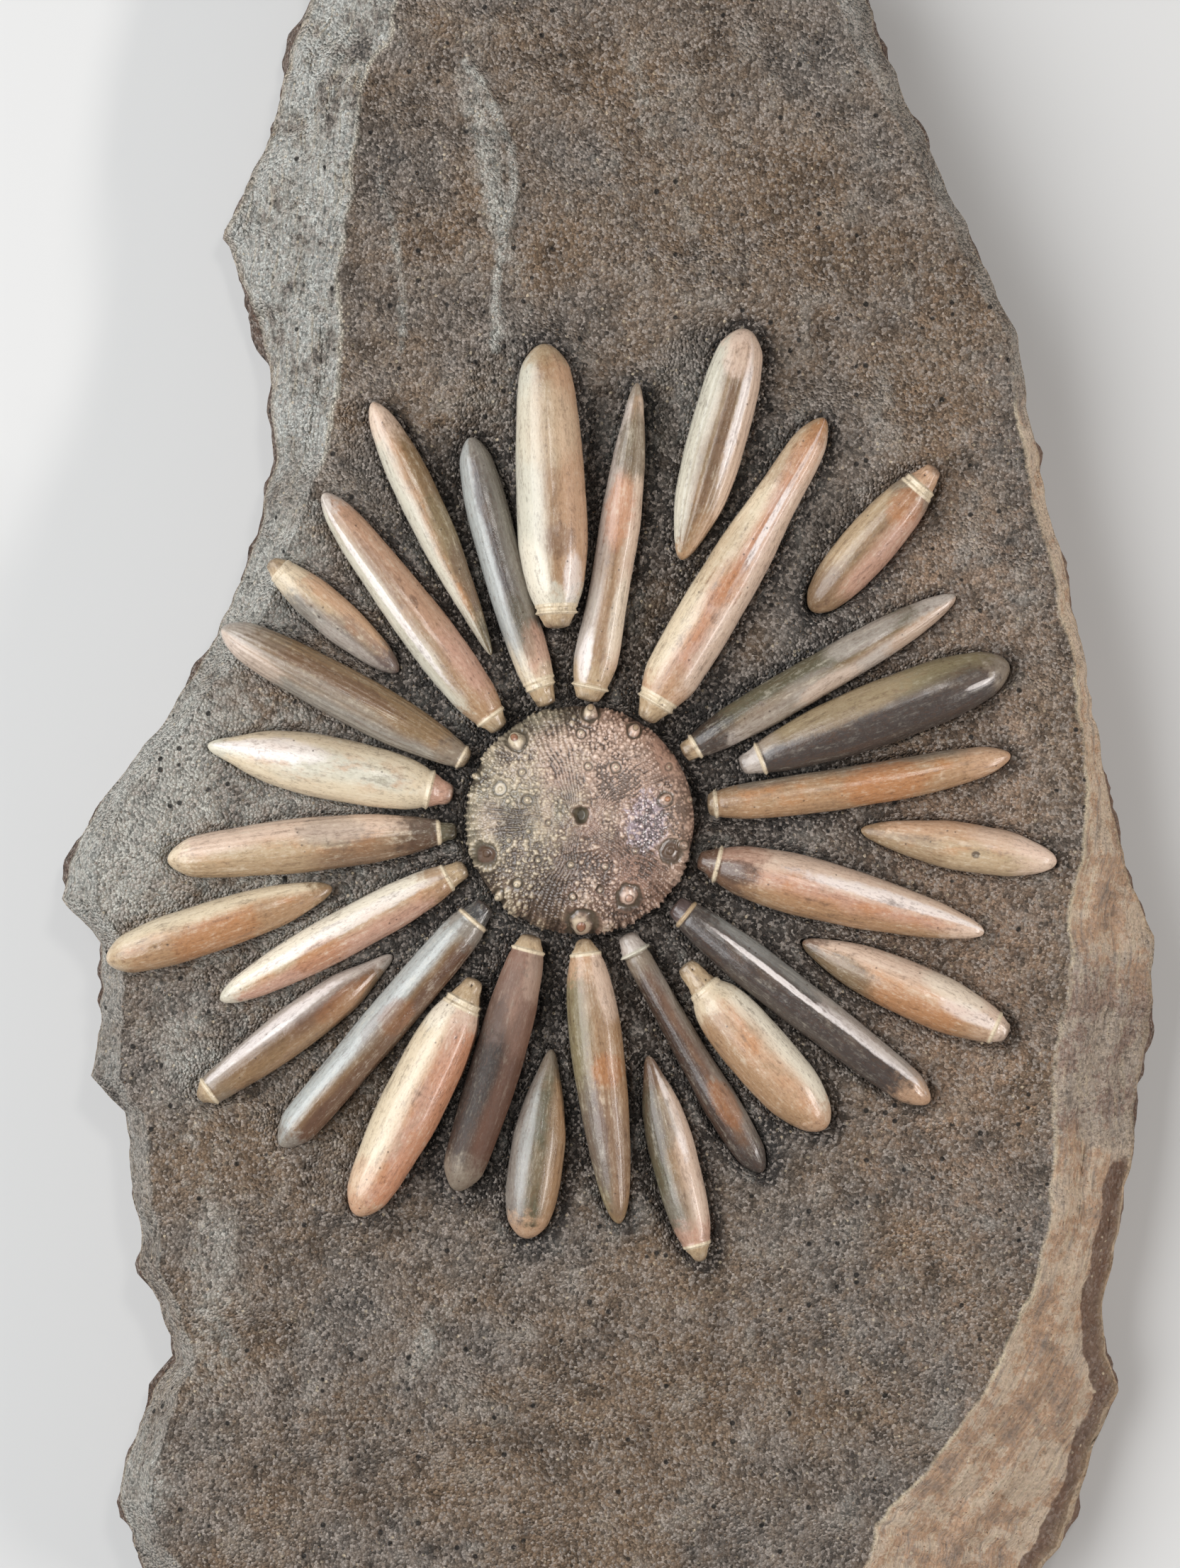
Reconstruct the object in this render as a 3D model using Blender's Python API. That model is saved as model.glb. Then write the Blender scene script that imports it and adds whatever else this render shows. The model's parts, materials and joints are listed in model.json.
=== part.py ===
"""Fossil sea urchin: a cidarid test with thirty club-shaped spines, fixed in a slab of sandstone.

Metres, +Z up. The origin is on the slab's flat underside, straight below the middle of the test.
+Y runs along the slab and +Z points out of the face that carries the fossil.
"""

import math
from dataclasses import dataclass

import bpy
from mathutils import Vector

MM = 0.001

# Everything fixed in the stone keeps this gap to it.
FIT_GAP = 0.35 * MM

# Slab, in millimetres. The fossil lies on the flat top, and the rim is where the bevel meets the wall.
SLAB_TOP = 26.0
WALL_BULGE_HEIGHT = 0.45  # of the rim's height
FOOT_INSET = 3.0
RIM_INSET = 1.2
CORE_ENDS = (-108.0, 118.0)  # the bevel runs in towards this stretch of the Y axis

# The slab's plan, anticlockwise from the far left corner: x, y, bevel width, rim height.
LEFT_EDGE = (
    (-48.8, 138.8, 17.0, 14.0),
    (-51.7, 129.0, 16.0, 14.0),
    (-54.2, 118.3, 16.0, 14.0),
    (-59.2, 108.0, 19.0, 13.0),
    (-62.8, 100.2, 21.0, 12.0),
    (-58.7, 90.6, 16.0, 13.0),
    (-55.9, 83.0, 14.0, 14.0),
    (-54.1, 73.7, 12.0, 16.0),
    (-53.6, 62.0, 9.0, 18.0),
    (-55.8, 51.6, 8.0, 18.0),
    (-59.0, 40.9, 7.0, 18.0),
    (-63.4, 31.3, 6.0, 18.0),
    (-70.3, 19.1, 5.0, 19.0),
    (-78.6, 9.4, 5.0, 19.0),
    (-84.2, 1.3, 5.0, 19.0),
    (-88.3, -7.2, 5.0, 18.0),
    (-89.6, -13.7, 6.0, 18.0),
    (-83.2, -21.1, 4.0, 19.0),
    (-83.2, -35.6, 4.0, 19.0),
    (-84.8, -43.7, 5.0, 18.0),
    (-78.8, -49.9, 4.0, 19.0),
    (-77.5, -59.5, 4.0, 19.0),
    (-75.8, -78.0, 4.0, 19.0),
    (-72.7, -82.4, 4.0, 19.0),
    (-70.8, -92.5, 4.0, 19.0),
    (-74.6, -97.6, 5.0, 18.0),
    (-79.4, -111.0, 6.0, 17.0),
    (-80.3, -117.2, 7.0, 17.0),
    (-76.3, -126.6, 7.0, 17.0),
)
NEAR_END = (
    (-70.0, -137.0, 7.0, 17.0),
    (-58.0, -144.5, 7.0, 17.0),
    (-38.0, -148.5, 7.0, 17.0),
    (-14.0, -150.5, 7.0, 16.0),
    (14.0, -149.5, 8.0, 16.0),
    (40.0, -147.0, 11.0, 15.0),
    (62.0, -141.0, 18.0, 14.0),
    (75.0, -134.5, 25.0, 13.0),
)
RIGHT_EDGE = (
    (82.1, -126.6, 31.0, 12.0),
    (85.4, -121.6, 31.0, 12.0),
    (89.9, -106.7, 28.0, 12.0),
    (93.6, -97.8, 26.0, 12.0),
    (91.4, -91.8, 20.0, 13.0),
    (91.4, -80.6, 15.0, 15.0),
    (95.5, -62.0, 15.0, 15.0),
    (96.6, -45.7, 15.0, 15.0),
    (98.9, -30.8, 15.0, 15.0),
    (98.9, -19.7, 15.0, 16.0),
    (95.3, -10.8, 10.0, 18.0),
    (91.1, 4.7, 4.0, 20.0),
    (87.0, 25.6, 2.5, 22.0),
    (84.1, 41.6, 2.5, 22.0),
    (80.9, 54.0, 2.5, 22.0),
    (78.2, 67.1, 2.5, 22.0),
    (75.6, 81.6, 2.5, 22.0),
    (70.4, 93.0, 3.0, 22.0),
    (65.2, 105.5, 3.0, 22.0),
    (56.4, 122.2, 4.0, 21.0),
    (51.7, 134.2, 5.0, 21.0),
)
FAR_END = (
    (46.0, 148.5, 6.0, 20.0),
    (34.0, 159.5, 7.0, 19.0),
    (16.0, 165.5, 8.0, 18.0),
    (-2.0, 167.0, 9.0, 17.0),
    (-20.0, 164.5, 11.0, 16.0),
    (-35.0, 157.5, 14.0, 15.0),
    (-45.0, 148.5, 16.0, 14.0),
)

# Test, in millimetres: a low dome above its widest line, which lies at the slab's face.
TEST_RADIUS = 19.3
TEST_DOME = 10.0
TEST_BASE = 9.0
TEST_FULLNESS = 0.8  # under 1 squares the dome's shoulder
TEST_MOUTH_RADIUS = 1.3
TEST_MOUTH_DEPTH = 1.4
TEST_SIDES = 24
TEST_LATITUDES = (66.0, 46.0, 28.0, 13.0, 0.0, -24.0, -52.0)

# Spines, in millimetres and fractions of the shaft.
SPINE_BEVEL_RESOLUTION = 2  # eight sides
SPINE_PROUD = 0.35  # height of the axis over the slab's face, of the greatest radius
GIRTH_PLACES = (0.1, 0.3, 0.5, 0.7, 0.9)
TIP_ROUND = 0.975
TIP_ROUND_WIDTH = 0.52  # of the last girth
TIP_END_WIDTH = 0.16
COLLAR_LIP = 0.8
NECK_LENGTH = 1.0

TINTS = {
    "cream": (0.62, 0.52, 0.40),
    "tan": (0.47, 0.34, 0.22),
    "pink": (0.50, 0.33, 0.24),
    "orange": (0.50, 0.25, 0.11),
    "olive": (0.28, 0.25, 0.18),
    "brown": (0.24, 0.16, 0.11),
    "mauve": (0.26, 0.20, 0.19),
}
STONE_TINT = (0.19, 0.16, 0.14)
TEST_TINT = (0.34, 0.26, 0.21)
STONE_ROUGHNESS = 0.9
TEST_ROUGHNESS = 0.5
SPINE_ROUGHNESS = 0.28


@dataclass(frozen=True)
class Spine:
    """One spine: where its root and tip lie, and how wide it is along the way.

    collar is the distance from the root end to the milled ring, and that ring's width. neck is the
    width just past the ring. girths are the widths at GIRTH_PLACES along the shaft. bow is how far
    the middle stands to the right of a straight line from root to tip. The dips lower an end.
    """

    name: str
    root: tuple
    tip: tuple
    end_width: float
    collar: tuple
    neck: float
    girths: tuple
    tint: str
    bow: float = 0.0
    root_dip: float = 0.0
    tip_dip: float = 0.0

    @property
    def length(self):
        return math.dist(self.root, self.tip)

    def profile(self):
        """Distance from the root end and radius at each ring, from root to tip."""
        rings = [(0.0, self.end_width / 2)]
        start = 0.0
        if self.collar:
            start, collar_width = self.collar
            rings.append((start - COLLAR_LIP, 0.42 * collar_width))
            rings.append((start, collar_width / 2))
            rings.append((start + NECK_LENGTH, self.neck / 2))
        shaft = self.length - start
        rings += [(start + place * shaft, width / 2) for place, width in zip(GIRTH_PLACES, self.girths)]
        last_girth = self.girths[-1]
        rings.append((start + TIP_ROUND * shaft, TIP_ROUND_WIDTH * last_girth / 2))
        rings.append((self.length, TIP_END_WIDTH * last_girth / 2))
        return rings

    def point(self, distance):
        """The axis's point at a distance from the root end."""
        root, tip = Vector(self.root), Vector(self.tip)
        along = distance / self.length
        across = Vector((tip.y - root.y, root.x - tip.x)).normalized()
        plan = root.lerp(tip, along) + across * (4 * self.bow * along * (1 - along))
        dip = self.root_dip * (1 - along) + self.tip_dip * along
        return Vector((plan.x, plan.y, SLAB_TOP + SPINE_PROUD * max(self.girths) / 2 - dip))


NO_COLLAR = ()

SPINES = (
    Spine("spine_01", (-3.8, 32.3), (-6.1, 80.4), 4.1, (2.6, 7.2), 7.0, (9.5, 11.8, 11.6, 10.7, 8.6), "tan",
          root_dip=-2.1, tip_dip=-0.4),
    Spine("spine_02", (1.2, 20.1), (9.7, 73.9), 4.0, (2.4, 6.5), 6.2, (7.5, 6.8, 6.9, 5.9, 3.4), "pink", bow=0.8),
    Spine("spine_03", (17.1, 44.0), (28.1, 83.0), 1.4, NO_COLLAR, 0, (4.9, 8.9, 9.8, 9.7, 7.8), "cream", bow=0.3),
    Spine("spine_04", (11.0, 16.8), (41.3, 67.9), 3.1, (3.4, 6.8), 6.7, (9.5, 10.1, 9.7, 7.7, 6.0), "tan"),
    Spine("spine_05", (60.1, 59.6), (39.2, 35.5), 2.9, (3.8, 5.8), 6.0, (7.1, 8.5, 9.0, 8.3, 5.9), "orange",
          tip_dip=3.5),
    Spine("spine_06", (17.4, 11.2), (63.5, 37.9), 3.4, (2.4, 4.6), 4.6, (6.0, 7.2, 7.1, 6.6, 4.4), "olive"),
    Spine("spine_07", (27.1, 9.1), (72.5, 26.3), 3.1, (3.6, 5.9), 5.8, (7.4, 9.9, 10.8, 10.6, 8.0), "mauve"),
    Spine("spine_08", (21.5, 2.6), (72.8, 11.0), 3.6, (1.4, 5.0), 4.8, (6.0, 6.9, 7.0, 6.8, 5.1), "tan", bow=1.0),
    Spine("spine_09", (47.6, -1.7), (80.6, -7.1), 2.0, NO_COLLAR, 0, (3.8, 6.7, 8.2, 7.9, 5.1), "cream",
          root_dip=2.0),
    Spine("spine_10", (19.9, -6.6), (68.3, -19.0), 3.0, (3.4, 6.6), 6.5, (8.6, 10.3, 9.6, 7.8, 4.6), "orange"),
    Spine("spine_11", (72.4, -36.1), (37.7, -20.7), 3.2, (2.4, 5.8), 6.1, (7.3, 9.3, 9.1, 7.9, 4.2), "tan",
          tip_dip=3.0),
    Spine("spine_12", (15.9, -14.3), (59.1, -47.7), 3.8, (2.6, 5.4), 5.5, (6.5, 7.9, 7.8, 7.2, 6.2), "brown", bow=0.2),
    Spine("spine_13", (17.7, -24.3), (41.6, -52.0), 3.2, (5.2, 5.9), 6.4, (8.6, 10.5, 10.8, 10.4, 7.0), "cream",
          bow=0.3),
    Spine("spine_14", (7.7, -19.3), (30.9, -59.6), 3.1, (3.4, 5.6), 4.5, (4.6, 4.9, 5.3, 6.3, 5.3), "olive",
          bow=0.4, tip_dip=1.5),
    Spine("spine_15", (20.5, -74.6), (11.5, -39.9), 1.9, (2.8, 4.9), 5.2, (6.3, 7.7, 7.9, 6.8, 3.2), "olive",
          tip_dip=1.5),
    Spine("spine_16", (0.6, -20.0), (6.6, -68.2), 2.4, (2.6, 5.5), 5.7, (7.4, 9.0, 8.5, 7.2, 4.6), "olive"),
    Spine("spine_17", (-4.8, -38.8), (-9.2, -70.7), 1.0, NO_COLLAR, 0, (3.4, 7.0, 9.0, 9.1, 7.2), "mauve",
          root_dip=1.5),
    Spine("spine_18", (-8.1, -19.4), (-21.0, -62.6), 3.5, (2.6, 5.9), 5.9, (6.8, 8.3, 8.6, 8.1, 6.9), "brown", bow=-0.5),
    Spine("spine_19", (-17.6, -26.8), (-37.8, -66.8), 2.8, (4.2, 6.5), 6.7, (8.8, 10.7, 10.8, 9.7, 7.3), "orange"),
    Spine("spine_20", (-15.8, -14.1), (-50.6, -55.1), 3.4, (3.6, 5.9), 6.3, (7.0, 7.5, 7.5, 7.2, 6.6), "mauve"),
    Spine("spine_21", (-64.5, -47.1), (-31.8, -22.9), 2.1, (2.2, 5.4), 5.4, (5.9, 7.3, 7.9, 7.2, 3.4), "cream",
          bow=0.2, tip_dip=2.0),
    Spine("spine_22", (-19.2, -8.0), (-60.8, -30.4), 3.0, (3.6, 5.0), 5.3, (6.5, 7.7, 7.8, 7.0, 4.6), "orange"),
    Spine("spine_23", (-41.9, -11.4), (-80.0, -23.8), 2.3, NO_COLLAR, 0, (4.6, 7.6, 8.5, 8.6, 6.7), "orange"),
    Spine("spine_24", (-20.8, -1.8), (-69.7, -6.8), 2.6, (3.0, 4.3), 4.7, (6.3, 8.6, 9.2, 8.6, 6.9), "tan", bow=0.2),
    Spine("spine_25", (-21.4, 4.2), (-62.9, 12.6), 3.0, (4.0, 6.9), 6.9, (8.6, 10.3, 10.6, 9.2, 4.2), "cream",
          bow=0.4),
    Spine("spine_26", (-18.8, 10.0), (-60.5, 32.4), 3.2, (1.2, 4.4), 4.5, (5.9, 8.3, 8.7, 8.3, 6.5), "tan"),
    Spine("spine_27", (-52.5, 43.8), (-30.8, 25.1), 2.3, (2.4, 4.6), 4.9, (5.6, 7.0, 7.1, 6.0, 3.8), "pink",
          tip_dip=2.0),
    Spine("spine_28", (-13.5, 15.3), (-43.4, 55.2), 3.2, (2.6, 5.6), 5.8, (7.4, 8.6, 8.2, 7.2, 5.0), "cream"),
    Spine("spine_29", (-15.0, 27.9), (-35.1, 70.6), 1.0, NO_COLLAR, 0, (2.5, 5.0, 6.6, 6.8, 4.9), "orange", bow=0.3),
    Spine("spine_30", (-5.5, 19.3), (-18.5, 64.8), 3.3, (3.4, 5.3), 5.4, (6.2, 6.9, 7.2, 7.2, 5.8), "olive",
          bow=-0.8, root_dip=0.2, tip_dip=1.4),
)


def clear_scene():
    for obj in list(bpy.data.objects):
        bpy.data.objects.remove(obj)


def make_material(name, tint, roughness):
    """A Principled material of one plain colour."""
    material = bpy.data.materials.new(name)
    material.use_nodes = True
    shader = material.node_tree.nodes["Principled BSDF"]
    shader.inputs["Base Color"].default_value = (*tint, 1.0)
    shader.inputs["Roughness"].default_value = roughness
    shader.inputs["Metallic"].default_value = 0.0
    material.diffuse_color = (*tint, 1.0)
    return material


def make_object(name, data, material, collection):
    obj = bpy.data.objects.new(name, data)
    obj.data.materials.append(material)
    collection.objects.link(obj)
    return obj


def stacked_mesh(name, loops):
    """A closed mesh through equal loops of points, with a flat cap on the first and on the last."""
    count = len(loops[0])
    points = [point for loop in loops for point in loop]
    faces = [tuple(reversed(range(count))), tuple(range(len(points) - count, len(points)))]
    for level in range(len(loops) - 1):
        low, high = level * count, (level + 1) * count
        for index in range(count):
            after = (index + 1) % count
            faces.append((low + index, low + after, high + after, high + index))
    mesh = bpy.data.meshes.new(name)
    mesh.from_pydata([tuple(MM * value for value in point) for point in points], [], faces)
    return mesh


def moved_in(x, y, width):
    """A plan point moved in by a width, towards the nearest point of the slab's core."""
    core = Vector((0.0, min(max(y, CORE_ENDS[0]), CORE_ENDS[1])))
    edge = Vector((x, y))
    return edge + (core - edge).normalized() * width


def slab_loop(inset, height):
    """One level of the slab. inset and height are functions of the bevel width and the rim height."""
    plan = LEFT_EDGE + NEAR_END + RIGHT_EDGE + FAR_END
    return [
        (*moved_in(x, y, inset(bevel)), height(rim))
        for x, y, bevel, rim in plan
    ]


def slab_mesh():
    foot = slab_loop(lambda bevel: FOOT_INSET, lambda rim: 0.0)
    bulge = slab_loop(lambda bevel: 0.0, lambda rim: WALL_BULGE_HEIGHT * rim)
    rim = slab_loop(lambda bevel: RIM_INSET, lambda rim: rim)
    face = slab_loop(lambda bevel: RIM_INSET + bevel, lambda rim: SLAB_TOP)
    return stacked_mesh("matrix_slab", [foot, bulge, rim, face])


def ring(radius, height, sides):
    turns = [math.tau * index / sides for index in range(sides)]
    return [(radius * math.cos(turn), radius * math.sin(turn), height) for turn in turns]


def test_mesh(name, grow=0.0, mouth=True):
    """The test, from its buried base up to the mouth in the middle of the dome.

    grow is added to every radius and height, which makes the pocket's cutter.
    """
    loops = []
    for latitude in reversed(TEST_LATITUDES):
        angle = math.radians(latitude)
        half_height = TEST_DOME if latitude > 0 else TEST_BASE
        radius = TEST_RADIUS * math.cos(angle) ** TEST_FULLNESS + grow
        height = (half_height + grow) * math.sin(angle)
        loops.append(ring(radius, SLAB_TOP + height, TEST_SIDES))
    if mouth:
        top = SLAB_TOP + TEST_DOME
        loops.append(ring(1.6 * TEST_MOUTH_RADIUS, top, TEST_SIDES))
        loops.append(ring(TEST_MOUTH_RADIUS, top - 0.3 * TEST_MOUTH_DEPTH, TEST_SIDES))
        loops.append(ring(0.7 * TEST_MOUTH_RADIUS, top - TEST_MOUTH_DEPTH, TEST_SIDES))
    return stacked_mesh(name, loops)


def spine_curve(spine, grow=0.0):
    """The spine as a bevelled curve whose radius follows its profile.

    grow is added to the radius and to both ends, which makes the pocket's cutter.
    """
    curve = bpy.data.curves.new(spine.name, "CURVE")
    curve.dimensions = "3D"
    curve.twist_mode = "Z_UP"
    curve.bevel_depth = MM
    curve.bevel_resolution = SPINE_BEVEL_RESOLUTION
    curve.use_fill_caps = True
    rings = [(distance, radius + grow) for distance, radius in spine.profile()]
    rings[0] = (-grow, rings[0][1])
    rings[-1] = (spine.length + grow, rings[-1][1])
    spline = curve.splines.new("POLY")
    spline.points.add(len(rings) - 1)
    for point, (distance, radius) in zip(spline.points, rings):
        point.co = (*(MM * spine.point(distance)), 1.0)
        point.radius = radius
    return curve


def add_cutter(mesh, material, pockets):
    cutter = make_object(f"{mesh.name}_pocket", mesh, material, pockets)
    cutter.hide_render = True
    cutter.display_type = "WIRE"


def spine_cutter_mesh(spine, gap):
    """The spine's pocket as a mesh, because a Boolean takes no curve."""
    holder = bpy.data.objects.new(f"{spine.name}_guide", spine_curve(spine, gap))
    mesh = bpy.data.meshes.new_from_object(holder)
    mesh.name = spine.name
    bpy.data.objects.remove(holder)
    return mesh


def build():
    clear_scene()
    scene_collection = bpy.context.scene.collection
    pockets = bpy.data.collections.new("pockets")
    scene_collection.children.link(pockets)
    stone = make_material("stone", STONE_TINT, STONE_ROUGHNESS)

    slab = make_object("matrix_slab", slab_mesh(), stone, scene_collection)

    test_finish = make_material("urchin_test", TEST_TINT, TEST_ROUGHNESS)
    test = make_object("urchin_test", test_mesh("urchin_test"), test_finish, scene_collection)
    test.data.shade_smooth()
    gap = FIT_GAP / MM
    add_cutter(test_mesh("urchin_test_cut", grow=gap, mouth=False), stone, pockets)

    for spine in SPINES:
        finish = make_material(spine.name, TINTS[spine.tint], SPINE_ROUGHNESS)
        make_object(spine.name, spine_curve(spine), finish, scene_collection)
        add_cutter(spine_cutter_mesh(spine, gap), stone, pockets)

    cut = slab.modifiers.new("pockets", "BOOLEAN")
    cut.operation = "DIFFERENCE"
    cut.solver = "EXACT"
    cut.operand_type = "COLLECTION"
    cut.collection = pockets


build()
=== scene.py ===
"""Looks of a fossil sea urchin: a cidarid test and thirty club-shaped spines fixed in a slab of sandstone.

Sizes in the dataclasses are in millimetres unless a name says otherwise. Finished meshes are in metres.
"""

import json
import logging
import math
from collections.abc import Sequence
from dataclasses import dataclass
from enum import Enum

import bpy
import numpy as np
from bpy.types import Material, Mesh, Node, NodeInputs, NodeOutputs, NodeSocket, NodeTree, Object
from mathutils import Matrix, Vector, geometry


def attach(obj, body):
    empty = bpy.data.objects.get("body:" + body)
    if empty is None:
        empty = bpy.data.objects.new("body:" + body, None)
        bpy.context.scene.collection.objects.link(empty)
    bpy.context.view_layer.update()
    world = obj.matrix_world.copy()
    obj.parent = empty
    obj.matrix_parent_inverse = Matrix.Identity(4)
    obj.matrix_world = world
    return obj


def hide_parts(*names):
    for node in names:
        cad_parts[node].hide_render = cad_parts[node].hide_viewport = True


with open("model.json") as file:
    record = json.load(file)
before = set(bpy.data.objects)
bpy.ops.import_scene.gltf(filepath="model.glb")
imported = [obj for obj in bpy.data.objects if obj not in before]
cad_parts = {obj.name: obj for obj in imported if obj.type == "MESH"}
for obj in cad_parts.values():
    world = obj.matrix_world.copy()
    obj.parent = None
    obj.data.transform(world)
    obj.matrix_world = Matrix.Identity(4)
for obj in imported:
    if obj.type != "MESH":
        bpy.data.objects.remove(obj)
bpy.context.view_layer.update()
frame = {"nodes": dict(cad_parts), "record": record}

BODY = "root"
MM = 0.001
ROW_STEP = 0.8660254
FAR = 50.0
SANDED_AREA = 0.042

log = logging.getLogger("fossil")

Colour = tuple[float, float, float, float]
Array = np.ndarray


class Hue(Enum):
    """The stone colours, and the colours of painted highlights, that the finishes choose from, as sRGB
    codes.
    """

    BONE = "ece2cd"
    CREAM = "d9c8ab"
    SAND = "b39b7b"
    TAN = "a58362"
    PINK = "bd9580"
    SALMON = "c68d6c"
    ORANGE = "ac7144"
    RUST = "8a4f30"
    OLIVE = "807457"
    MOSS = "5b5541"
    BROWN = "654b3b"
    UMBER = "3a2c24"
    MAUVE = "5d4f4d"
    ASH = "8a8379"
    SLATE = "494949"
    INK = "14120f"
    SHALE = "837a71"
    EARTH = "8b735b"
    RIME = "e4e6df"
    BUFF = "c09b7c"
    IRON = "5b3c2c"
    LILAC = "b3abbb"
    ROSE = "997d6d"
    PEARL = "b5aaa0"
    OAT = "cbc6b4"
    SHELL = "d5bba6"
    FAWN = "96785a"
    DUN = "836a4c"
    TAUPE = "857868"
    # Bluish-white painted highlight: the window's reflection on the lit sides of clubs.
    MIST = "abaeaa"
    PEWTER = "8f908c"
    SOOT = "453d39"
    # Near-white painted highlight: streaks of lamp light on the clubs and glints on the test.
    GLOSS = "f4ebe6"
    AMBER = "b5763f"
    DUSK = "8d7a76"
    LICHEN = "807866"
    FROST = "cbc9bf"
    BISQUE = "e2c6b2"
    PITCH = "16171a"

    @property
    def colour(self) -> Colour:
        """The colour as linear red, green, blue and alpha."""
        channels = [int(self.value[start:start + 2], 16) / 255 for start in (0, 2, 4)]
        linear = [c / 12.92 if c <= 0.04045 else ((c + 0.055) / 1.055) ** 2.4 for c in channels]
        return (linear[0], linear[1], linear[2], 1.0)

    @property
    def lightness(self) -> float:
        """How light the colour is, from 0 to 1."""
        return int(self.value[2:4], 16) / 255.0


class Root(Enum):
    """Which end of a club is its root, the end with the cup."""

    INNER = "towards the test"
    OUTER = "away from the test"


# ---- tools


class Graph:
    """Short calls that add linked nodes to one node tree."""

    def __init__(self, tree: NodeTree) -> None:
        """Works on a tree.

        Args:
            tree: The shader or geometry tree that nodes are added to.
        """
        self.tree = tree
        self.source: NodeOutputs | None = None
        self.result: NodeInputs | None = None

    def add(self, kind: str, feeds: dict | None = None, **settings: object) -> Node:
        """Adds one node.

        Args:
            kind: The node's type name.
            feeds: Sockets to link, or values to set, by input name or number.
            **settings: Properties of the node.

        Returns:
            The new node.
        """
        node = self.tree.nodes.new(kind)
        for name, value in settings.items():
            setattr(node, name, value)
        for key, value in (feeds or {}).items():
            self.feed(node.inputs[key], value)
        return node

    def feed(self, socket: NodeSocket, value: object) -> None:
        """Links a socket into an input, or sets its value.

        Args:
            socket: The input.
            value: Another node's output, a hue or a plain value.
        """
        if isinstance(value, NodeSocket):
            self.tree.links.new(value, socket)
        else:
            socket.default_value = value.colour if isinstance(value, Hue) else value

    def math(self, operation: str, *terms: object) -> NodeSocket:
        """The output of a Math node on one to three values or sockets."""
        return self.add("ShaderNodeMath", dict(enumerate(terms)), operation=operation).outputs[0]

    def vector(self, operation: str, *terms: object) -> NodeSocket:
        """The vector output of a Vector Math node."""
        return self.add("ShaderNodeVectorMath", dict(enumerate(terms)), operation=operation).outputs[0]

    def ramp(self, value: object, low: object, high: object,
             to_low: object = 0.0, to_high: object = 1.0) -> NodeSocket:
        """A smooth step from one result at low to another at high, where high may be under low."""
        feeds = {"Value": value, "From Min": low, "From Max": high, "To Min": to_low, "To Max": to_high}
        return self.add("ShaderNodeMapRange", feeds, interpolation_type="SMOOTHSTEP").outputs["Result"]

    def mix(self, factor: object, first: object, second: object) -> NodeSocket:
        """Two colours mixed, with the factor's share of the second."""
        feeds = {0: factor, 6: first, 7: second}
        return self.add("ShaderNodeMix", feeds, data_type="RGBA").outputs[2]

    def tint(self, colour: object, hue: object, value: object, low: object, high: object,
             strength: object = 1.0) -> NodeSocket:
        """A colour with a hue laid over it where a value steps from low to high, up to a strength."""
        return self.mix(self.ramp(value, low, high, 0.0, strength), colour, hue)

    def tints(self, colour: object, *rows: tuple) -> NodeSocket:
        """A colour with several hues laid over it in turn, each a row of what tint takes."""
        for row in rows:
            colour = self.tint(colour, *row)
        return colour

    def cover(self, colour: object, hue: object, mask: object, strength: object) -> NodeSocket:
        """A colour with a hue laid over it by a mask, at a strength."""
        return self.mix(self.times(mask, strength), colour, hue)

    def times(self, first: object, second: object) -> NodeSocket:
        """Two values multiplied."""
        return self.math("MULTIPLY", first, second)

    def scaled(self, value: object, factor: object, shift: object) -> NodeSocket:
        """A value times a factor, plus a shift."""
        return self.math("MULTIPLY_ADD", value, factor, shift)

    def about(self, value: object, spread: object, middle: object) -> NodeSocket:
        """A noise value spread about a middle, where a noise is about 0.5 on average."""
        return self.scaled(self.math("SUBTRACT", value, 0.5), spread, middle)

    def noise(self, vector: object, scale: object, detail: float = 2.0, rough: float = 0.5,
              warp: float = 0.0) -> NodeSocket:
        """The value of a noise texture with this many cells to a unit."""
        feeds = {"Vector": vector, "Scale": scale, "Detail": detail, "Roughness": rough, "Distortion": warp}
        return self.add("ShaderNodeTexNoise", feeds).outputs[0]

    def shape(self, kind: str, feeds: dict | None = None, **settings: object) -> NodeSocket:
        """The first output of a new geometry node."""
        return self.add(f"GeometryNode{kind}", feeds, **settings).outputs[0]

    def named(self, name: str) -> NodeSocket:
        """A geometry tree's view of a number that the mesh stores."""
        return self.shape("InputNamedAttribute", {"Name": name}, data_type="FLOAT")

    def along(self, direction: object, length: object) -> NodeSocket:
        """A vector scaled by a length."""
        return self.add("ShaderNodeVectorMath", {0: direction, 3: length}, operation="SCALE").outputs[0]

    def finish(self, geometry_in: object) -> NodeTree:
        """Ends a geometry tree.

        Args:
            geometry_in: What it has made.

        Returns:
            The tree, which realises every instance and sets the Finish material.
        """
        plain = self.shape("RealizeInstances", {0: geometry_in})
        self.feed(self.result[0], self.shape("SetMaterial", {0: plain, "Material": self.source["Finish"]}))
        return self.tree

    def give(self, **results: object) -> NodeTree:
        """Feeds the group's outputs.

        Args:
            **results: What goes into each output.

        Returns:
            The group.
        """
        for name, value in results.items():
            self.feed(self.result[name], value)
        return self.tree

    def split(self, vector: object) -> NodeOutputs:
        """The three parts of a vector."""
        return self.add("ShaderNodeSeparateXYZ", {0: vector}).outputs

    def attribute(self, name: str) -> NodeOutputs:
        """A shader's view of a mesh attribute."""
        return self.add("ShaderNodeAttribute", attribute_name=name).outputs

    def group(self, tree: NodeTree, feeds: dict) -> NodeOutputs:
        """Places a shader group and feeds its inputs.

        Args:
            tree: The group.
            feeds: Sockets to link, or values to set, by input name.

        Returns:
            The group's outputs.
        """
        node = self.tree.nodes.new("ShaderNodeGroup")
        node.node_tree = tree
        for key, value in feeds.items():
            self.feed(node.inputs[key], value)
        return node.outputs


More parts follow.
